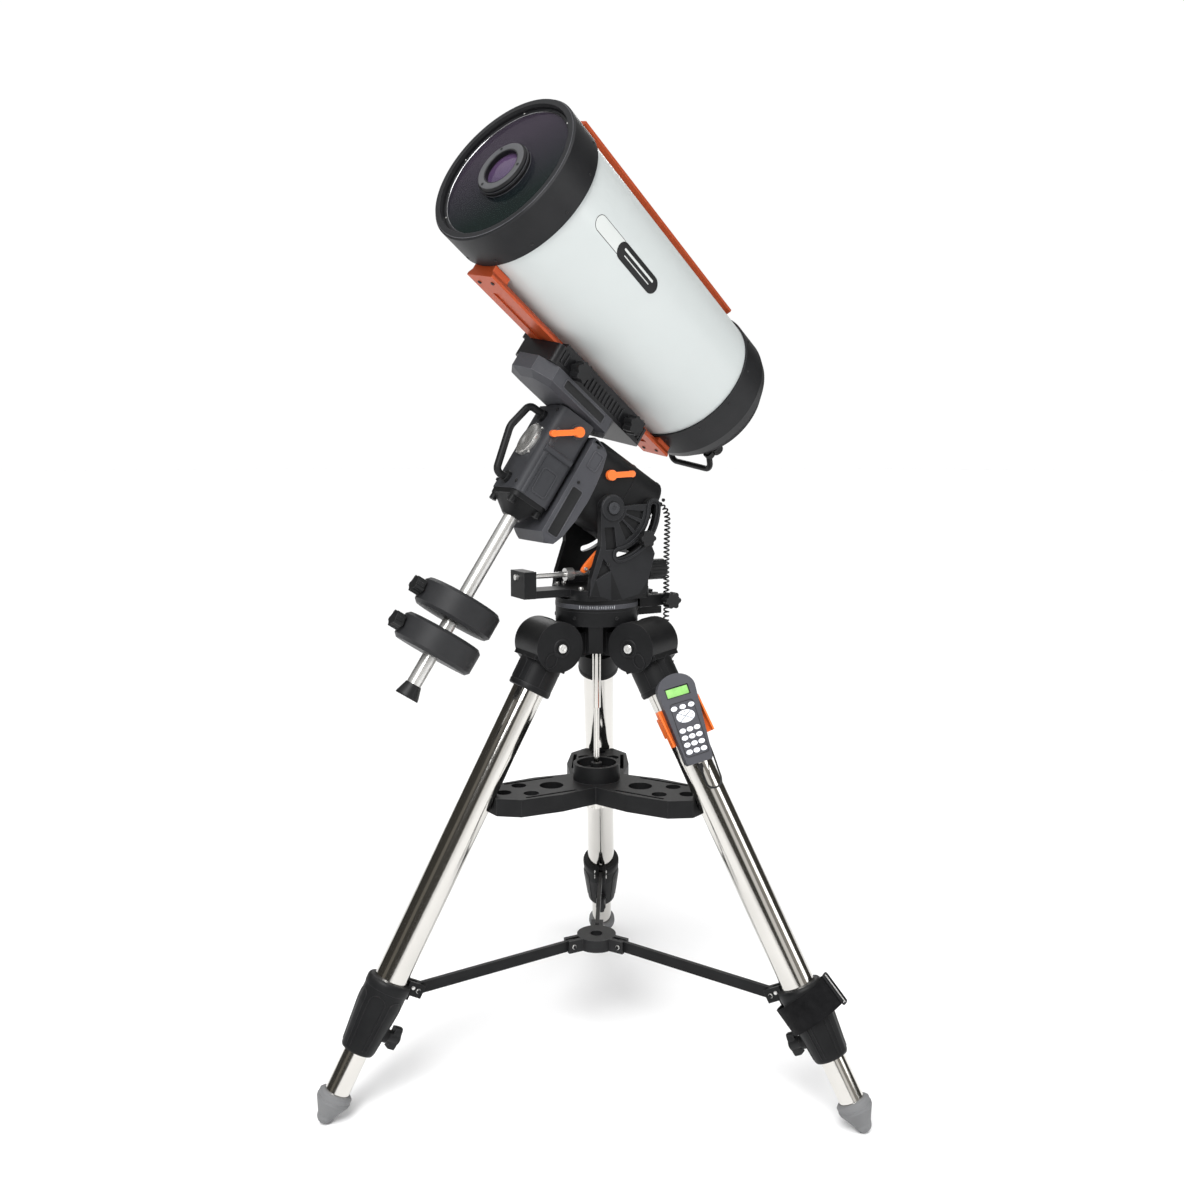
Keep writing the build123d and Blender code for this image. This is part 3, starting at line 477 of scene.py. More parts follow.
def cap_screw(name, m, r, h, body, material=None):
    """Socket head screw: chamfered head with a hexagon recess."""
    seg = 24
    rings = []
    for share, z, six in ((1, 0, False), (1, h * 0.82, False), (0.88, h, False), (0.55, h, True),
                          (0.50, h * 0.92, True), (0.50, h * 0.35, True), (0.1, h * 0.3, True)):
        ring = []
        for j in range(seg):
            a = 2 * pi * j / seg
            flat = cos(radians(30)) / cos(a % radians(60) - radians(30)) if six else 1
            ring.append(m @ Vector((r * share * flat * cos(a), r * share * flat * sin(a), z)))
        rings.append(ring)
    return mesh_object(name, *skin(rings), material or STEEL, body, "brushed_steel")


def screws(name, m, points, r, h, body, material=None):
    """Numbered screws at these (x, y) points of a frame."""
    for i, (x, y) in enumerate(points):
        cap_screw("%s_%d" % (name, i), shifted(m, x, y), r, h, body, material)


def dome(name, m, r, h, body):
    """Round rivet or pin head."""
    profile = [(r, -0.0003), (r, h * 0.3), (r * 0.86, h * 0.75), (r * 0.5, h), (r * 0.1, h * 1.03)]
    return turned(name, m, profile, STEEL, body, "brushed_steel", seg=24)


def oval(half_x, half_y, n=40, power=2.0):
    """Ellipse, or with a higher power an ellipse pressed towards a rectangle."""
    pts = []
    for c, s in circle(1.0, n):
        pts.append((half_x * abs(c) ** (2 / power) * (1 if c >= 0 else -1),
                    half_y * abs(s) ** (2 / power) * (1 if s >= 0 else -1)))
    return pts


def rounded(half_x, half_y, corner, x=0.0, y=0.0, steps=6):
    """Rounded rectangle as a list of points."""
    pts = []
    for sx, sy, a0 in ((1, 1, 0), (-1, 1, 90), (-1, -1, 180), (1, -1, 270)):
        for i in range(steps + 1):
            a = radians(a0 + 90 * i / steps)
            pts.append((x + sx * (half_x - corner) + corner * cos(a),
                        y + sy * (half_y - corner) + corner * sin(a)))
    return pts


def frame_rim(name, m, half_x, half_y, corner, width, height, material, body, x=0.0, y=0.0, slot=None):
    """Raised border of a panel."""
    outer = rounded(half_x, half_y, corner, x, y)
    inner = rounded(half_x - width, half_y - width, max(corner - width, 0.0003), x, y)
    return loop_band(name, m, outer, inner, -0.0003, height, material, body, slot)


def arc_loop(r, half, a0, a1):
    """Outline at a fixed distance round an arc, as (x, y) points; angles in degrees."""
    def along(radius, start, end):
        angles = [radians(start + (end - start) * i / 24) for i in range(25)]
        return [(radius * cos(a), radius * sin(a)) for a in angles]

    def end_round(at, start):
        cx, cy = r * cos(radians(at)), r * sin(radians(at))
        angles = [radians(at + start + 180 * i / 8) for i in range(1, 8)]
        return [(cx + half * cos(a), cy + half * sin(a)) for a in angles]

    return along(r + half, a0, a1) + end_round(a1, 0) + along(r - half, a1, a0) + end_round(a0, 180)


def nurbs_curve(name, points, resolution, closed=False):
    """Curve data of one smooth line with these control points."""
    data = bpy.data.curves.new(name, "CURVE")
    data.dimensions = "3D"
    spline = data.splines.new("NURBS")
    spline.points.add(len(points) - 1)
    for p, q in zip(spline.points, points):
        p.co = (*q, 1)
    spline.order_u = 3
    spline.use_cyclic_u = closed
    spline.use_endpoint_u = not closed
    data.resolution_u = resolution
    return data


def wire(name, points, r, material, body, closed=False):
    """Round bar along a smooth line through the row frame."""
    data = nurbs_curve(name, points, 6, closed)
    data.bevel_depth = r
    data.bevel_resolution = 4
    data.use_fill_caps = True
    return place(name, data, material, body)


def paint(node, chosen, material):
    """Give the faces of a node whose centre passes the test a second finish."""
    data = NODES[node].data
    data.materials.append(material)
    for face in data.polygons:
        if chosen(face.center):
            face.material_index = len(data.materials) - 1


# ---- camera
PHOTO = (1184, 1185)
FOCAL = 1170
camera_data = bpy.data.cameras.new("camera")
camera = bpy.data.objects.new("camera", camera_data)
bpy.context.scene.collection.objects.link(camera)
ahead = Vector((0.475, 0.880, 0)).normalized()
tilt = radians(7.35)
look = ahead * cos(tilt) - Vector((0, 0, sin(tilt)))
camera.matrix_world = frame_at((-1.213, -2.226, 1.383), ahead.cross(UP), -look)
camera_data.sensor_width = 36
camera_data.lens = 36 * FOCAL / PHOTO[1]
camera_data.sensor_fit = "HORIZONTAL"
bpy.context.scene.camera = camera


# ---- hand controller's curly lead
MM = 0.001
CORD_D = 0.0039
COIL_R = 0.0075 - CORD_D / 2
PITCH = 0.0100
PER_TURN = 14                   # points in one turn of the coil
RAMP = 4 * PER_TURN             # the coil opens and closes over this many points
COIL_POINTS = [PORT - POLE * 0.020] + [Vector(p) * MM for p in (
    (165.6, 0, 1244.8), (175.7, 0, 1231.6), (181, 0, 1215.5), (180.8, 0.5, 1190), (179.8, 1, 1156),
    (179, 0.5, 1120), (178.5, 0, 1085), (178, -2, 1048), (174, -9, 1015), (166, -21, 984), (157, -37, 952),
    (150, -56, 920), (148, -78, 888), (151, -102, 857), (158, -127, 828))]
LEAD_POINTS = [HANDSET @ (Vector(p) * MM) for p in (
    (51, 27, -93), (51, 2, -80), (50, -23, -66), (48, -48, -49), (45, -73, -30), (41, -98, -12),
    (37, -122, 2), (36, -142.5, 9), (25.5, -153, 11.5), (10.5, -153, 12), (0, -142.5, 12),
    (0.8, -127, 12.3), (0, -110.5, 12))]


def nurbs_line(points, resolution):
    """Points along the smooth line that has these control points."""
    obj = bpy.data.objects.new("route", nurbs_curve("route", points, resolution))
    bpy.context.scene.collection.objects.link(obj)
    line = bpy.data.meshes.new_from_object(obj)
    found = [v.co.copy() for v in line.vertices]
    bpy.data.objects.remove(obj)
    bpy.data.meshes.remove(line)
    return found


def walk(line, step):
    """Points and directions at equal steps along a line."""
    out, carry = [], 0.0
    for a, b in zip(line, line[1:]):
        d = b - a
        length = d.length
        if length < 1e-9:
            continue
        t = carry
        while t < length:
            out.append((a + d * (t / length), d / length))
            t += step
        carry = t - length
    return out


def coiled(line):
    """Helix round a line, closing down to the line at both ends."""
    steps = walk(line, PITCH / PER_TURN)
    out = Vector((0, 1, 0))
    helix = []
    for i, (p, d) in enumerate(steps):
        out = (out - d * out.dot(d)).normalized()
        a = 2 * pi * i / PER_TURN
        t = min(1.0, i / RAMP, (len(steps) - 1 - i) / RAMP)
        r = COIL_R * t * t * (3 - 2 * t)
        helix.append(p + out * (r * cos(a)) + d.cross(out) * (r * sin(a)))
    return helix


def tube_mesh(name, line, r, material, seg=10):
    """Round tube along close points, with its ends closed."""
    rings = []
    out = Vector((0, 1, 0))
    for i, p in enumerate(line):
        d = (line[min(i + 1, len(line) - 1)] - line[max(i - 1, 0)]).normalized()
        out = (out - d * out.dot(d)).normalized()
        rings.append([p + out * x + d.cross(out) * y for x, y in circle(r, seg)])
    return mesh_object(name, *skin(rings), material, None)


def boot(name, m, body):
    """Tapered ribbed sleeve on a moulded modular plug, z along the cord."""
    profile = [(0.0061, 0.0), (0.0063, 0.0012), (0.0063, 0.009), (0.0052, 0.0105)]
    for i in range(4):
        z = 0.0112 + i * 0.0018
        rib = 0.0042 - i * 0.0003
        profile += [(rib, z), (rib, z + 0.0009), (0.0034 - i * 0.0002, z + 0.0011)]
    profile.append((0.0024, 0.0193))
    return turned(name, m, profile, CORD_RUBBER, body, "cord", seg=28)


helix = coiled(nurbs_line(COIL_POINTS + LEAD_POINTS[:1], 12))
cord_line = nurbs_line([PORT - POLE * 0.004] + helix + LEAD_POINTS[1:], 3)
curly = tube_mesh("curly_lead", cord_line, CORD_D / 2, CORD_RUBBER)
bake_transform(curly)
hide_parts("hand_cord")
upper_boot = boot("lead_plug_mount", frame_at(PORT, (0, 1, 0), -POLE), "polar_unit")
end_dir = (LEAD_POINTS[-2] - LEAD_POINTS[-1]).normalized()
socket = frame_at(LEAD_POINTS[-1] - end_dir * 0.0135, HANDSET.col[0].xyz, end_dir)
lower_boot = boot("lead_plug_handset", socket, "tripod")


# ---- hand controller
KEY_TOP = 0.0255
SCREEN_Y = 0.057


def screen_finish():
    """Green liquid crystal panel with a fine cell pattern and a little light of its own."""
    m = bpy.data.materials.new("lcd_screen")
    m.use_nodes = True
    nt = m.node_tree
    bsdf = nt.nodes["Principled BSDF"]
    where = nt.nodes.new("ShaderNodeTexCoord").outputs["Object"]
    cells = new_node(nt, "ShaderNodeTexVoronoi", Vector=where, Scale=900.0)
    glow = new_node(nt, "ShaderNodeTexNoise", Vector=where, Scale=40.0)
    lit = mixed(nt, ramp(nt, glow.outputs["Fac"], 0.3, 0.7), (0.22, 0.50, 0.13), (0.30, 0.62, 0.18))
    cell_edge = ramp(nt, cells.outputs["Distance"], 0.0, 0.6, 0.3, 0.0)
    nt.links.new(mixed(nt, cell_edge, lit, (0.10, 0.25, 0.06)), bsdf.inputs["Base Color"])
    nt.links.new(lit, bsdf.inputs["Emission Color"])
    bsdf.inputs["Emission Strength"].default_value = 0.12
    bsdf.inputs["Roughness"].default_value = 0.12
    bsdf.inputs["Coat Weight"].default_value = 0.6
    return m


def key_print(name, x, y, outline):
    """Thin printed shape on top of a key."""
    plate(name, shifted(HANDSET, x, y, KEY_TOP), outline, -0.0002, 0.0002, PLASTIC, "keypad", 0)


plate("lcd_panel", shifted(HANDSET, 0, SCREEN_Y, 0), oval(0.0255, 0.0105, 48, 7), 0.0202, 0.0212,
      screen_finish(), "tripod", bevel=0.0003)
frame_rim("lcd_bezel", shifted(HANDSET, 0, SCREEN_Y, 0.0198), 0.0262, 0.0112, 0.0020, 0.0022, 0.0024,
          PLASTIC, "tripod", slot="black_plastic")
frame_rim("handset_trim", shifted(HANDSET, 0, -0.022, 0.0240), 0.0262, 0.0570, 0.0070, 0.0012, 0.0006,
          PLASTIC, "tripod", slot="black_plastic")
KEY_ROW = [(k * 0.019, 0.024) for k in (-1, 0, 1)]
KEY_GRID = [(k * 0.016, row) for row in (-0.024, -0.039, -0.054, -0.069) for k in (-1, 0, 1)]
for i, (x, y) in enumerate(KEY_ROW + KEY_GRID):
    wide = 0.0022 if i % 3 == 1 else 0.0028
    key_print("key_mark_%d" % i, x, y + 0.0008, rounded(wide, 0.0004, 0.0002, 0, 0, 2))
    if i % 2 == 0:
        key_print("key_underline_%d" % i, x, y - 0.0014, rounded(0.0014, 0.0003, 0.0002, 0, 0, 2))
ARROWS = ((0, 0.013, 0), (0, -0.005, 180), (-0.0145, 0.004, 90), (0.0145, 0.004, -90))
for i, (x, y, turn) in enumerate(ARROWS):
    key_print("arrow_%d" % i, x, y, circle(0.0017, 3, turn + 90))


# ---- fork cheeks and altitude lock
PIVOT_BOSS = [(0.0145, -0.001), (0.0145, 0.0032), (0.0155, 0.004), (0.0255, 0.004), (0.027, 0.0028),
              (0.027, -0.001)]
CHEEK_SCREWS = ((0.088, -0.022), (0.1235, 0.014), (-0.012, -0.118))
BASE_SCREWS = ((-0.068, 0.056), (-0.048, 0.064), (0.086, 0.056))
for side, label in ((-1, "near"), (1, "far")):
    cheek = frame_at((PIVOT_X, side * CHEEK_OUT, PIVOT_Z), (-side, 0, 0), (0, side, 0))
    ring_band("pivot_boss_" + label, cheek, PIVOT_BOSS, FORK, "azimuth_fork", "grey_casting", 64)
    cap_screw("pivot_cap_" + label, shifted(cheek, 0, 0, 0.0048), 0.0125, 0.0034, "polar_unit", GREY)
    outer, inner = ([(-side * x, y) for x, y in arc_loop(SLOT_R, half, -81, 0)] for half in (0.0165, 0.0122))
    loop_band("slot_rim_" + label, cheek, outer, inner, -0.0005, 0.0030, FORK, "azimuth_fork",
              "grey_casting")
    base = Matrix.Translation((0, 0, PLATE_TOP))
    screws("base_screw_" + label, base, [(x, side * y) for x, y in BASE_SCREWS], 0.0055, 0.006,
           "azimuth_fork")
    screws("cheek_screw_" + label, cheek, [(-side * x, y) for x, y in CHEEK_SCREWS], 0.0038, 0.0032,
           "azimuth_fork", PLASTIC)
paint("fork", lambda c: c.z < PLATE_TOP + 0.0005, BLACK)
paint("fork", lambda c: abs(c.y) < CHEEK_OUT - 0.0005 and c.z > PLATE_TOP + 0.0005, BLACK)
lock = frame_at((-0.030, -0.030, 1.129), Vector((1, 0, 1)).normalized(), (0, -1, 0))
plate("altitude_lock", lock, oval(0.032, 0.0075, 40, 3.5), -0.004, 0.004, LEVER, "azimuth_fork",
      0.0012)
cap_screw("altitude_lock_screw", shifted(lock, -0.022, 0, 0.004), 0.0042, 0.003, "azimuth_fork")
paint("alt_adjuster", lambda c: c.x > 0.1235, PLASTIC)


# ---- polar unit
def blank_badge(name, m, half_x, half_y, x, y, body):
    """Dark blank plate inside a raised paler border."""
    plate(name, m, rounded(half_x, half_y, 0.004, x, y), -0.0003, 0.0007, PLASTIC, body,
          0.0003)


for side, label in ((-1, "near"), (1, "far")):
    panel = frame_at(CROSSING + Vector((0, side * 0.069, 0)), DEC * -side, (0, side, 0))
    blank_badge("polar_badge_" + label, panel, 0.055, 0.0125, side * 0.098, -0.0695, "polar_unit")
    frame_rim("polar_badge_rim_" + label, panel, 0.0575, 0.0150, 0.006, 0.0022, 0.0011, COVER,
              "polar_unit", side * 0.098, -0.0695, "grey_casting")
    frame_rim("polar_panel_rim_" + label, panel, 0.0200, 0.0130, 0.006, 0.0024, 0.0016, COVER,
              "polar_unit", side * -0.027, -0.0725, "grey_casting")
    screws("polar_screw_" + label, panel, [(-side * x, -0.063) for x in (-0.030, 0.056)], 0.0034, 0.0022,
           "polar_unit", PLASTIC)
for i, z in enumerate((-0.176, -0.2465)):
    loop_band("housing_seam_%d" % i, shifted(RAF, 0, 0, z), rounded(0.0861, 0.0701, 0.053),
              rounded(0.0840, 0.0680, 0.051), -0.0022, 0.0022, BLACK, "polar_unit", "black_casting")
PORT_X = -0.059
rear = shifted(frame_at(CROSSING, DEC, -POLE), 0, 0, 0.266)
for i, y in enumerate((-0.040, -0.014, 0.014, 0.040)):
    plate("port_%d" % i, rear, rounded(0.0085, 0.0100, 0.002, PORT_X, y), -0.0003, 0.0010, PLASTIC,
          "polar_unit", 0.0004)
    frame_rim("port_rim_%d" % i, rear, 0.0100, 0.0115, 0.003, 0.0016, 0.0016, COVER, "polar_unit",
              PORT_X, y, "grey_casting")
    for k in (-1, 1):
        at = shifted(rear, PORT_X + k * 0.0155, y, 0)
        cap_screw("port_screw_%d_%d" % (i, k), at, 0.0016, 0.0010, "polar_unit")
SCOPE_BEZEL = [(0.0205, 0.001), (0.0205, -0.010), (0.0235, -0.012), (0.030, -0.012), (0.0335, -0.008),
               (0.0345, 0.001)]
ring_band("scope_bezel", shifted(RAF, 0, 0, -0.250), SCOPE_BEZEL, PLASTIC, "polar_unit",
          "black_plastic", 72)


# ---- declination unit and its drive cover
SHAFT_CAP = [(0.033, -0.0004), (0.033, 0.0012), (0.030, 0.0026), (0.012, 0.0034), (0.010, 0.0024),
             (0.001, 0.0024)]
face = shifted(RAF, 0, 0, 0.050)
screws("flange_screw", face, circle(0.0406, 4, 45), 0.0030, 0.0030, "dec_unit")
turned("shaft_cap", shifted(RAF, 0, 0, 0.057), SHAFT_CAP, STEEL, "dec_unit", "brushed_steel", seg=64)
corners = [(x, y) for x in (-0.098, 0.074) for y in (0.047, -0.047)]
screws("housing_screw", face, corners, 0.0036, 0.0028, "dec_unit", PLASTIC)
for side, label in ((1, "near"), (-1, "far")):
    wall = frame_at(DECF @ Vector((0, side * 0.062, 0)), DECF.col[2].xyz, DECF.col[1].xyz * side)
    frame_rim("housing_panel_" + label, wall, 0.030, 0.0185, 0.008, 0.0026, 0.0016, GREY, "dec_unit",
              -0.072, 0.0, "grey_casting")
    cover = frame_at(SADDLE @ Vector((0, side * 0.064, 0)), SADDLE_X * -side, SADDLE_Y * side)
    blank_badge("drive_badge_" + label, cover, 0.068, 0.0085, -side * 0.040, 0.1140, "optical_tube")
    frame_rim("drive_badge_rim_" + label, cover, 0.0705, 0.0112, 0.006, 0.0022, 0.0012, COVER,
              "optical_tube", -side * 0.040, 0.1140, "grey_casting")


# ---- saddle fins and rail screws
FIN_STEP = 0.01252
for i in range(24):
    x = -0.144 + i * FIN_STEP
    if 0.074 < abs(x) < 0.126:      # the two clamp knobs stand here
        continue
    front = frame_at(SADDLE @ Vector((x, 0.060, 0.154)), SADDLE_X, SADDLE_Y)
    plate("jaw_fin_%d" % i, front, rounded(0.0030, 0.0135, 0.0018), -0.0005, 0.0028, ANODISED,
          "saddle_jaw")
    back = frame_at(SADDLE @ Vector((x, -0.062, 0.150)), SADDLE_X, -SADDLE_Y)
    plate("saddle_fin_%d" % i, back, rounded(0.0030, 0.0170, 0.0018), -0.0005, 0.0028, ANODISED,
          "optical_tube")
for i, (x, z) in enumerate(((0.181, 0.352), (0.181, 0.300), (0.178, -0.150), (0.181, -0.206))):
    at = frame_at(TUBE @ Vector((x, 0, z)), TUBE_Z, TUBE_X)
    cap_screw("rail_screw_%d" % i, at, 0.0050, 0.0022, "optical_tube", PLASTIC)
for i, y in enumerate((-0.020, 0.020)):
    for k, z in enumerate((0.350, -0.258)):
        low = frame_at(TUBE @ Vector((-0.186, y, z)), TUBE_Z, -TUBE_X)
        cap_screw("dovetail_screw_%d_%d" % (i, k), low, 0.0042, 0.0018, "optical_tube", PLASTIC)


# ---- optical tube
def off_axis(c):
    """Distance of a point from the optical axis."""
    p = c - TUBE_CENTRE
    return (p - TUBE_Z * p.dot(TUBE_Z)).length


def radial(r, angle, z):
    """Frame on a surface of the tube facing outward."""
    a = radians(angle)
    out = TUBE_X * cos(a) + TUBE_Y * sin(a)
    return frame_at(TUBE_CENTRE + out * r + TUBE_Z * z, TUBE_Z, out)


def tube_ring(name, profile, material, slot, seg):
    """Ring round the optical axis, from (radius, z) points."""
    ring_band(name, TUBE, profile, material, "optical_tube", slot, seg)


paint("ota_tube", lambda c: off_axis(c) < TUBE_R - 0.0008, FLOCK)
paint("rear_cell", lambda c: off_axis(c) < 0.1578 and (c - TUBE_CENTRE).dot(TUBE_Z) > -0.3795, FLOCK)
for i in range(12):
    for label, z in (("ring", 0.386), ("cell", -0.245)):
        at = radial(RING_R, 15 + 30 * i, z)
        cap_screw("%s_screw_%d" % (label, i), at, 0.0026, 0.0012, "optical_tube", PLASTIC)
tube_ring("corrector_retainer", [(0.1432, 0.4385), (0.1432, 0.4405), (0.1440, 0.4412), (0.1484, 0.4412),
                                 (0.1488, 0.4385)], RING, "black_casting", 160)
tube_ring("retainer_edge", [(0.1424, 0.4381), (0.1424, 0.4390), (0.1431, 0.4397), (0.1433, 0.4381)],
          EDGE, "brushed_steel", 160)
tube_ring("ring_lip_edge", [(0.1612, 0.4516), (0.1612, 0.4523), (0.1618, 0.4523), (0.1622, 0.4512)],
          COVER, "black_casting", 160)
screws("retainer_screw", shifted(TUBE, z=0.4412), circle(0.1461, 6, 20), 0.0019, 0.0010, "optical_tube")
tube_ring("lens_face", [(0.0402, 0.4558), (0.0402, 0.4566), (0.0410, 0.4570), (0.0525, 0.4570),
                        (0.0533, 0.4564), (0.0533, 0.4558)], FACE, "black_anodised", 96)
tube_ring("lens_bezel", [(0.0376, 0.4478), (0.0376, 0.4556), (0.0384, 0.4564), (0.0392, 0.4564),
                         (0.0392, 0.4478)], ANODISED, "black_anodised", 96)
screws("lens_screw", shifted(TUBE, z=0.4570), circle(0.0475, 3, 35), 0.0030, 0.0010, "optical_tube", PLASTIC)
for i, z in enumerate((0.4478, 0.4385)):
    tube_ring("barrel_step_%d" % i, [(0.0565, z - 0.0006), (0.0577, z - 0.0004), (0.0577, z + 0.0004),
                                     (0.0565, z + 0.0006)], COVER, "black_anodised", 96)
TEETH = 72
knurl = []
for r, z, cut in ((0.0568, 0.4400, 1), (0.0579, 0.4408, 0.988), (0.0579, 0.4452, 0.988), (0.0568, 0.4460, 1)):
    ring = []
    for j, (c, s) in enumerate(circle(r, 4 * TEETH)):
        k = 1 if j % 4 < 2 else cut
        ring.append(TUBE @ Vector((k * c, k * s, z)))
    knurl.append(ring)
mesh_object("lens_knurl", *skin(knurl + [knurl[0]], cap=False), ANODISED, "optical_tube",
            "black_anodised")


def wrapped(name, r0, r1, phi, half_width, z0, z1, material):
    """Thin round-ended label bent round the tube: phi in degrees, widths along the surface in metres."""
    rows, columns, verts, faces = 48, 12, [], []
    middle, half = (z0 + z1) / 2, (z1 - z0) / 2
    for layer in (r0, r1):
        for i in range(rows + 1):
            t = -cos(pi * i / rows)
            past = max(0.0, abs(t) * half - half + half_width) / half_width
            w = half_width * sqrt(max(0.002, 1 - past * past))
            for j in range(columns + 1):
                a = radians(phi) + w * (2 * j / columns - 1) / layer
                verts.append(TUBE @ Vector((layer * cos(a), layer * sin(a), middle + t * half)))
    n, layer = columns + 1, (rows + 1) * (columns + 1)
    for i in range(rows):
        for j in range(columns):
            q = i * n + j
            faces += [(q, q + 1, q + n + 1, q + n), tuple(layer + v for v in (q, q + n, q + n + 1, q + 1))]
    rim = ([j for j in range(n)] + [i * n + columns for i in range(1, rows + 1)]
           + [rows * n + j for j in range(columns - 1, -1, -1)] + [i * n for i in range(rows - 1, 0, -1)])
    for a, b in zip(rim, rim[1:] + rim[:1]):
        faces.append((a, b, layer + b, layer + a))
    return mesh_object(name, verts, faces, material, "optical_tube", "black_plastic")


wrapped("label_border", 0.1598, 0.16015, -91, 0.0165, 0.2240, 0.3230, PLASTIC)
wrapped("label_pale", 0.1599, 0.16030, -91, 0.0153, 0.2252, 0.3218, LABEL)
wrapped("label_dark", 0.1599, 0.16045, -91.6, 0.0180, 0.1080, 0.2460, PLASTIC)
wrapped("label_stripe_wide", 0.1600, 0.16055, -89.6, 0.0024, 0.1260, 0.2290, LABEL)
wrapped("label_stripe_thin", 0.1600, 0.16055, -93.4, 0.0010, 0.1330, 0.2220, LABEL)


# ---- legs: crown, collar, foot
def tripod_ring(name, m, profile, seg):
    """Cast black ring on the tripod."""
    ring_band(name, m, profile, BLACK, "tripod", "black_casting", seg)


def crown(leg, azimuth, letter):
    """Pivot rings and eyes on the crown's cheeks, rivets on the brace's lugs, lip and shoulder lines."""
    across, along = leg.col[1].xyz, leg.col[2].xyz
    outward = Vector((cos(radians(azimuth)), sin(radians(azimuth)), 0))
    for side in (-1, 1):
        tag = "%s_%s" % (letter, "ab"[side > 0])
        pivot = frame_at(leg @ Vector((0, side * 0.056, PIVOT_L)), along, across * side)
        tripod_ring("crown_ring_" + tag, pivot, [(0.0150, -0.0005), (0.0150, 0.0012), (0.0158, 0.0022),
                    (0.0185, 0.0022), (0.0200, 0.0010), (0.0205, -0.0005)], 48)
        cap_screw("crown_bolt_" + tag, shifted(pivot, 0, 0, 0.0018), 0.0095, 0.0042, "tripod")
        outer, inner = ([(x - 0.034, y + side * 0.010) for x, y in oval(half_x, half_y, 32)]
                        for half_x, half_y in ((0.0175, 0.0135), (0.0150, 0.0110)))
        loop_band("crown_eye_" + tag, pivot, outer, inner, -0.0005, 0.0016, BLACK, "tripod",
                  "black_casting")
        for k, (x, z, r) in enumerate(((-0.064, 0.314, 0.0052), (-0.050, 0.317, 0.0042))):
            head = frame_at(leg @ Vector((x, side * 0.014, z)), along, across * side)
            dome("lug_rivet_%s_%d" % (tag, k), head, r, 0.0026, "tripod")
        sideways = Vector((-outward.y, outward.x, 0)) * side
        hub = frame_at(outward * 0.064 + sideways * 0.014 + UP * 0.262, outward, sideways)
        dome("hub_rivet_" + tag, hub, 0.0055, 0.0028, "tripod")
    tripod_ring("hood_lip_" + letter, leg, [(0.0352, 0.9776), (0.0352, 0.9792), (0.0462, 0.9900),
                (0.0470, 0.9870), (0.0462, 0.9790), (0.0440, 0.9772)], 72)
    for k, turn in enumerate((-62, 0, 62)):
        for side in (-1, 1):
            line = []
            for t in (i / 12 for i in range(13)):
                a = radians(turn + side * 22 * (1 - max(0.0, t - 0.75) ** 2 * 14))
                line.append(leg @ Vector((0.0458 * cos(a), 0.0458 * sin(a), 0.992 + 0.052 * t)))
            name = "hood_line_%s_%d%s" % (letter, k, "ab"[side > 0])
            wire(name, line, 0.0011, BLACK, "tripod")


def collar(leg, letter):
    """Top band of the collar and the raised panels down its taper."""
    tripod_ring("collar_band_" + letter, leg, [(0.0452, 0.2960), (0.0470, 0.2966), (0.0474, 0.3000),
                (0.0474, 0.3100), (0.0462, 0.3140), (0.0440, 0.3165), (0.0436, 0.3120)], 96)
    foot, shoulder, spread = 0.172, 0.272, 22
    for k, turn in enumerate((-115, -58, 0, 58, 115)):
        line = []
        for t in (i / 40 for i in range(41)):
            if t < 0.4:
                z, a = foot + (shoulder - foot) * t / 0.4, turn - spread
            elif t > 0.6:
                z, a = foot + (shoulder - foot) * (1 - t) / 0.4, turn + spread
            else:
                u = (t - 0.4) / 0.2
                z, a = shoulder + 0.014 * sin(pi * u), turn - spread * cos(pi * u)
            r = 0.036 + 0.010 * min(1.0, (z - 0.166) / 0.096)
            line.append(leg @ Vector((r * cos(radians(a)), r * sin(radians(a)), z)))
        wire("collar_line_%s_%d" % (letter, k), line, 0.0012, BLACK, "tripod")


FOOT_RIB = [(0.0346, 0.0535), (0.0358, 0.0545), (0.0358, 0.0565), (0.0346, 0.0575)]
for letter, azimuth, leg in zip("abc", LEG_AZIMUTHS, LEGS):
    crown(leg, azimuth, letter)
    collar(leg, letter)
    paint("lower_leg_" + letter, lambda c: (c - leg.translation).dot(leg.col[2].xyz) < 0.073, FOOT)
    ring_band("foot_rib_" + letter, leg, FOOT_RIB, FOOT, "leg_" + letter, "grey_plastic", 64)
    knob = frame_at(leg @ Vector((-0.074, 0, 0.205)), leg.col[1].xyz, -leg.col[0].xyz)
    plate("leg_knob_pad_" + letter, knob, oval(0.0105, 0.0245, 36, 3.2), -0.013, 0.0016, PLASTIC,
          "leg_knob_" + letter, 0.0022)


# ---- tripod head and azimuth scale
def head_frame(angle, r, z):
    """Frame on the head's side wall, facing outward."""
    out = Vector((cos(radians(angle)), sin(radians(angle)), 0))
    return frame_at(out * r + UP * z, UP, out)


for i in range(6):
    at = head_frame(60 * i + 30, 0.090, 1.010)
    cap_screw("head_screw_%d" % i, at, 0.0042, 0.0016, "tripod", PLASTIC)
SCALE_BAND = [(0.0895, 1.0300), (0.0906, 1.0304), (0.0906, 1.0396), (0.0895, 1.0400)]
ring_band("azimuth_scale", frame_at((0, 0, 0), (1, 0, 0), UP), SCALE_BAND, COVER, "azimuth_fork",
          "grey_casting", 120)
for i in range(17):
    half = 0.0034 if i % 4 == 0 else 0.0020
    at = head_frame(-142 + 3 * i, 0.0905, 1.035)
    plate("scale_mark_%d" % i, at, rounded(half, 0.0003, 0.0001, steps=2), -0.0002, 0.0004, KEYS,
          "azimuth_fork", 0)


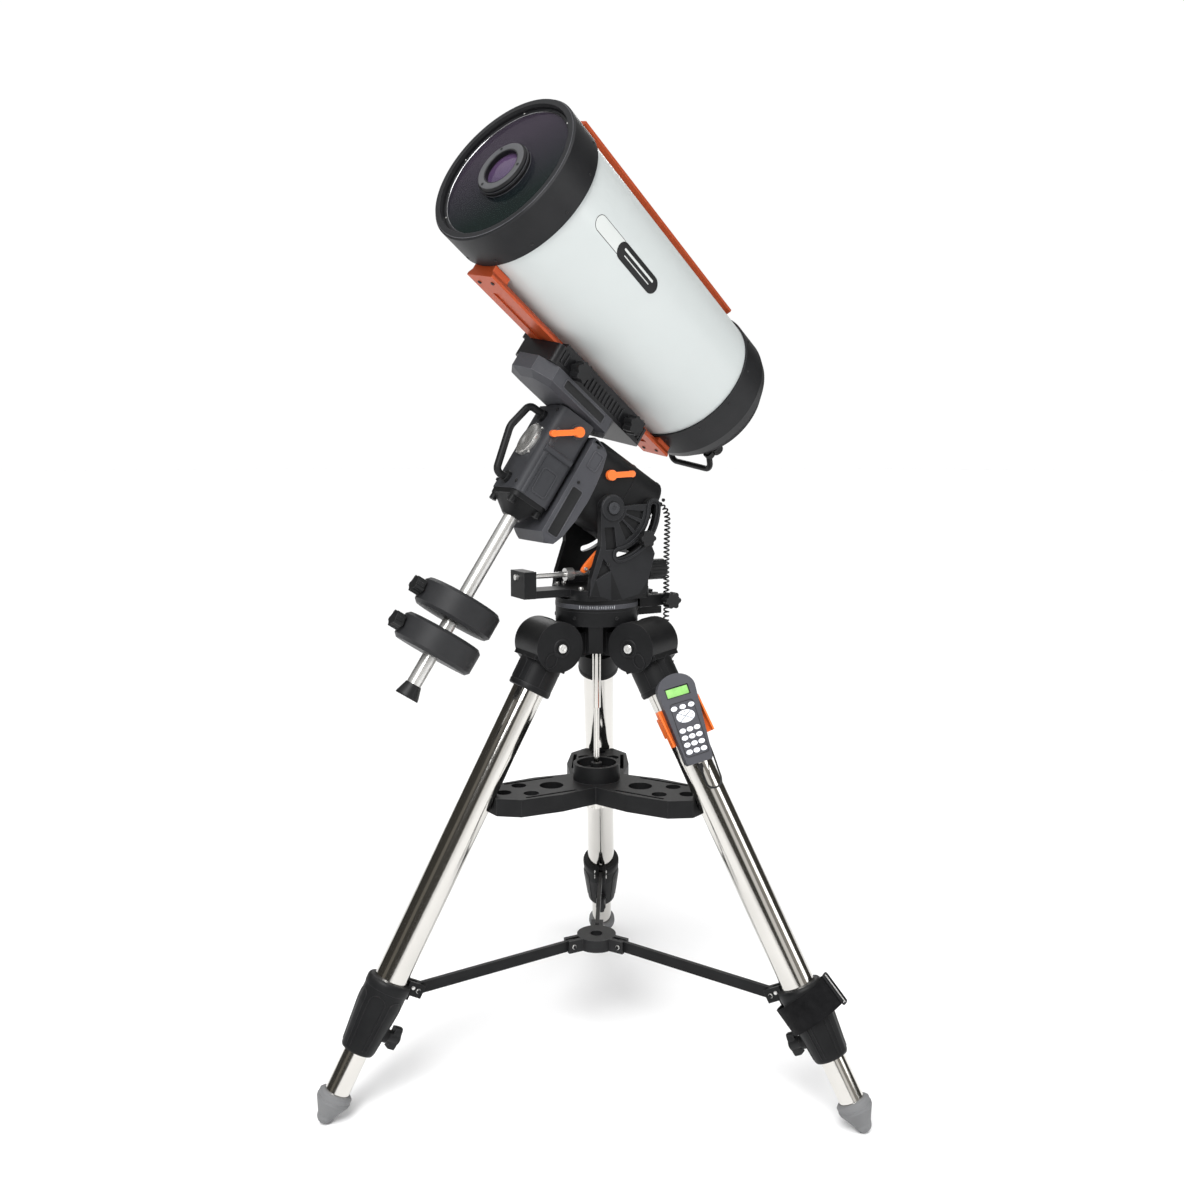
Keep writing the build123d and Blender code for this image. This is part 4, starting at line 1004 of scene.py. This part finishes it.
# ---- strap round the near right collar
STRAP = LEGS[1] @ Matrix.Translation((0.003, 0, 0.270)) @ Matrix.Rotation(radians(-14), 4, "Y")
BAND_W = 0.060
BAND_T = 0.0016
BAND_STEP = 3.0                 # degrees
SECTION = ((-1, -1), (-0.97, -1), (-0.5, -1), (0, -1), (0.5, -1), (0.97, -1), (1, -1),
           (1, 1), (0.97, 1), (0.5, 1), (0, 1), (-0.5, 1), (-0.97, 1), (-1, 1))


def band_point(angle, lift):
    """Point on the middle of the band: it starts under its own tail and rises over it."""
    a = radians(angle)
    grow = lift + 0.0021 * max(0.0, min(1.0, (angle - 330) / 40))
    return Vector(((0.0635 + grow) * cos(a), (0.0510 + grow) * sin(a), 0))


rings, line = [], []
for i in range(133):
    angle = -10 + i * BAND_STEP
    p = band_point(angle, 0.0002)
    out = (band_point(angle + 1, 0.0002) - p).normalized().cross(UP)
    line.append(p)
    ring = []
    for u, v in SECTION:
        ripple = 0.0003 * sin(radians(angle * 5)) * abs(u)
        ring.append(STRAP @ (p + out * (v * BAND_T / 2 + ripple) + UP * (u * BAND_W / 2)))
    rings.append(ring)
band = mesh_object("strap_band", *skin(rings), WEBBING, "tripod", "webbing")
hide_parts("strap")
for i, angle in enumerate((12, 16)):
    line = [STRAP @ (band_point(angle + 360, 0.0012) + UP * (0.0045 * k - 0.027)) for k in range(13)]
    wire("strap_seam_%d" % i, line, 0.0006, WEBBING, "tripod")
buckle_at = STRAP @ Matrix.Rotation(radians(8), 4, "Z") @ Matrix.Translation((0.0128, 0, 0))
loop = [buckle_at @ Vector((0.0548, y, z)) for y, z in rounded(0.0115, 0.0335, 0.004, steps=3)]
bar_line = [buckle_at @ Vector((0.0555, 0.0, z)) for z in (-0.0325, -0.016, 0.0, 0.016, 0.0325)]
buckle = [wire("strap_buckle", loop, 0.0022, PLASTIC, "tripod", closed=True),
          wire("strap_buckle_bar", bar_line, 0.0016, STEEL, "tripod")]


# ---- floor, light
FLOOR_R = 60.0
floor_mesh = bpy.data.meshes.new("floor")
floor_mesh.from_pydata([(x, y, 0) for x, y in circle(FLOOR_R, 64)], [], [tuple(range(64))])
floor = bpy.data.objects.new("floor", floor_mesh)
bpy.context.scene.collection.objects.link(floor)
floor_mat = bpy.data.materials.new("floor_paper")
floor_mat.use_nodes = True
nt = floor_mat.node_tree
bsdf = nt.nodes["Principled BSDF"]
noise = new_node(nt, "ShaderNodeTexNoise", Scale=6.0, Detail=4.0)
paper = mixed(nt, noise.outputs["Fac"], (0.93, 0.93, 0.93), (0.96, 0.96, 0.96))
nt.links.new(paper, bsdf.inputs["Base Color"])
bsdf.inputs["Roughness"].default_value = 0.9
bsdf.inputs["Specular IOR Level"].default_value = 0.1
floor_mesh.materials.append(floor_mat)
floor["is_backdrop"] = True

# Reflections see a dim room below a pale ceiling. Upright lights give the polished tubes their
# streaks: azimuth in degrees, cosine of the angle off it where a light starts and is full, colour.
STREAKS = ((192, 0.974, 0.990, (0.19, 0.175, 0.15)), (264, 0.972, 0.990, (0.95, 0.93, 0.90)),
           (290, 0.970, 0.988, (0.34, 0.32, 0.29)), (50, 0.94, 0.97, (0.50, 0.49, 0.47)))
world = bpy.data.worlds.new("studio")
bpy.context.scene.world = world
world.use_nodes = True
nt = world.node_tree
background = nt.nodes["Background"]
where = nt.nodes.new("ShaderNodeTexCoord").outputs["Generated"]
split = nt.nodes.new("ShaderNodeSeparateXYZ")
nt.links.new(where, split.inputs[0])
angle = maths(nt, "ARCTAN2", split.outputs["Y"], split.outputs["X"])
surround = (0.060, 0.056, 0.049)
for azimuth, faint, full, tone in STREAKS:
    nearness = maths(nt, "COSINE", maths(nt, "SUBTRACT", angle, radians(azimuth)))
    surround = mixed(nt, ramp(nt, nearness, faint, full), surround, tone)
height = ramp(nt, split.outputs["Z"], 0.45, 0.75, 0.0, 1.0)
surround = mixed(nt, height, surround, (0.95, 0.95, 0.95))
path = nt.nodes.new("ShaderNodeLightPath")
room = mixed(nt, height, (0.20, 0.20, 0.205), (0.62, 0.62, 0.62))
surround = mixed(nt, path.outputs["Is Glossy Ray"], room, surround)
seen = mixed(nt, path.outputs["Is Camera Ray"], surround, (1.15, 1.15, 1.15))
nt.links.new(seen, background.inputs["Color"])
background.inputs["Strength"].default_value = 0.88


def lamp(name, location, target, size, power):
    """Rectangular light at a place, facing its target."""
    data = bpy.data.lights.new(name, "AREA")
    data.shape = "RECTANGLE"
    data.size, data.size_y = size
    data.energy = power
    obj = bpy.data.objects.new(name, data)
    bpy.context.scene.collection.objects.link(obj)
    away = Vector(location) - Vector(target)
    obj.matrix_world = frame_at(location, away.cross(UP), away)


overhead = bpy.data.lights.new("overhead", "SUN")
overhead.energy = 2.7
overhead.angle = radians(40)
sky = bpy.data.objects.new("overhead", overhead)
bpy.context.scene.collection.objects.link(sky)
sky.matrix_world = frame_at((0, 0, 4), (1, 0, 0), (-0.45, -0.55, 1.0))
lamp("key", (-2.4, -2.4, 2.9), (0, 0, 1.3), (1.2, 1.6), 62)
lamp("fill", (2.2, -2.6, 1.8), (0, 0, 1.0), (1.2, 2.2), 22)
lamp("rim", (1.2, 2.6, 2.8), (0, 0, 1.3), (1.6, 1.2), 30)
bpy.context.scene.view_settings.view_transform = "Standard"

low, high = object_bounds()
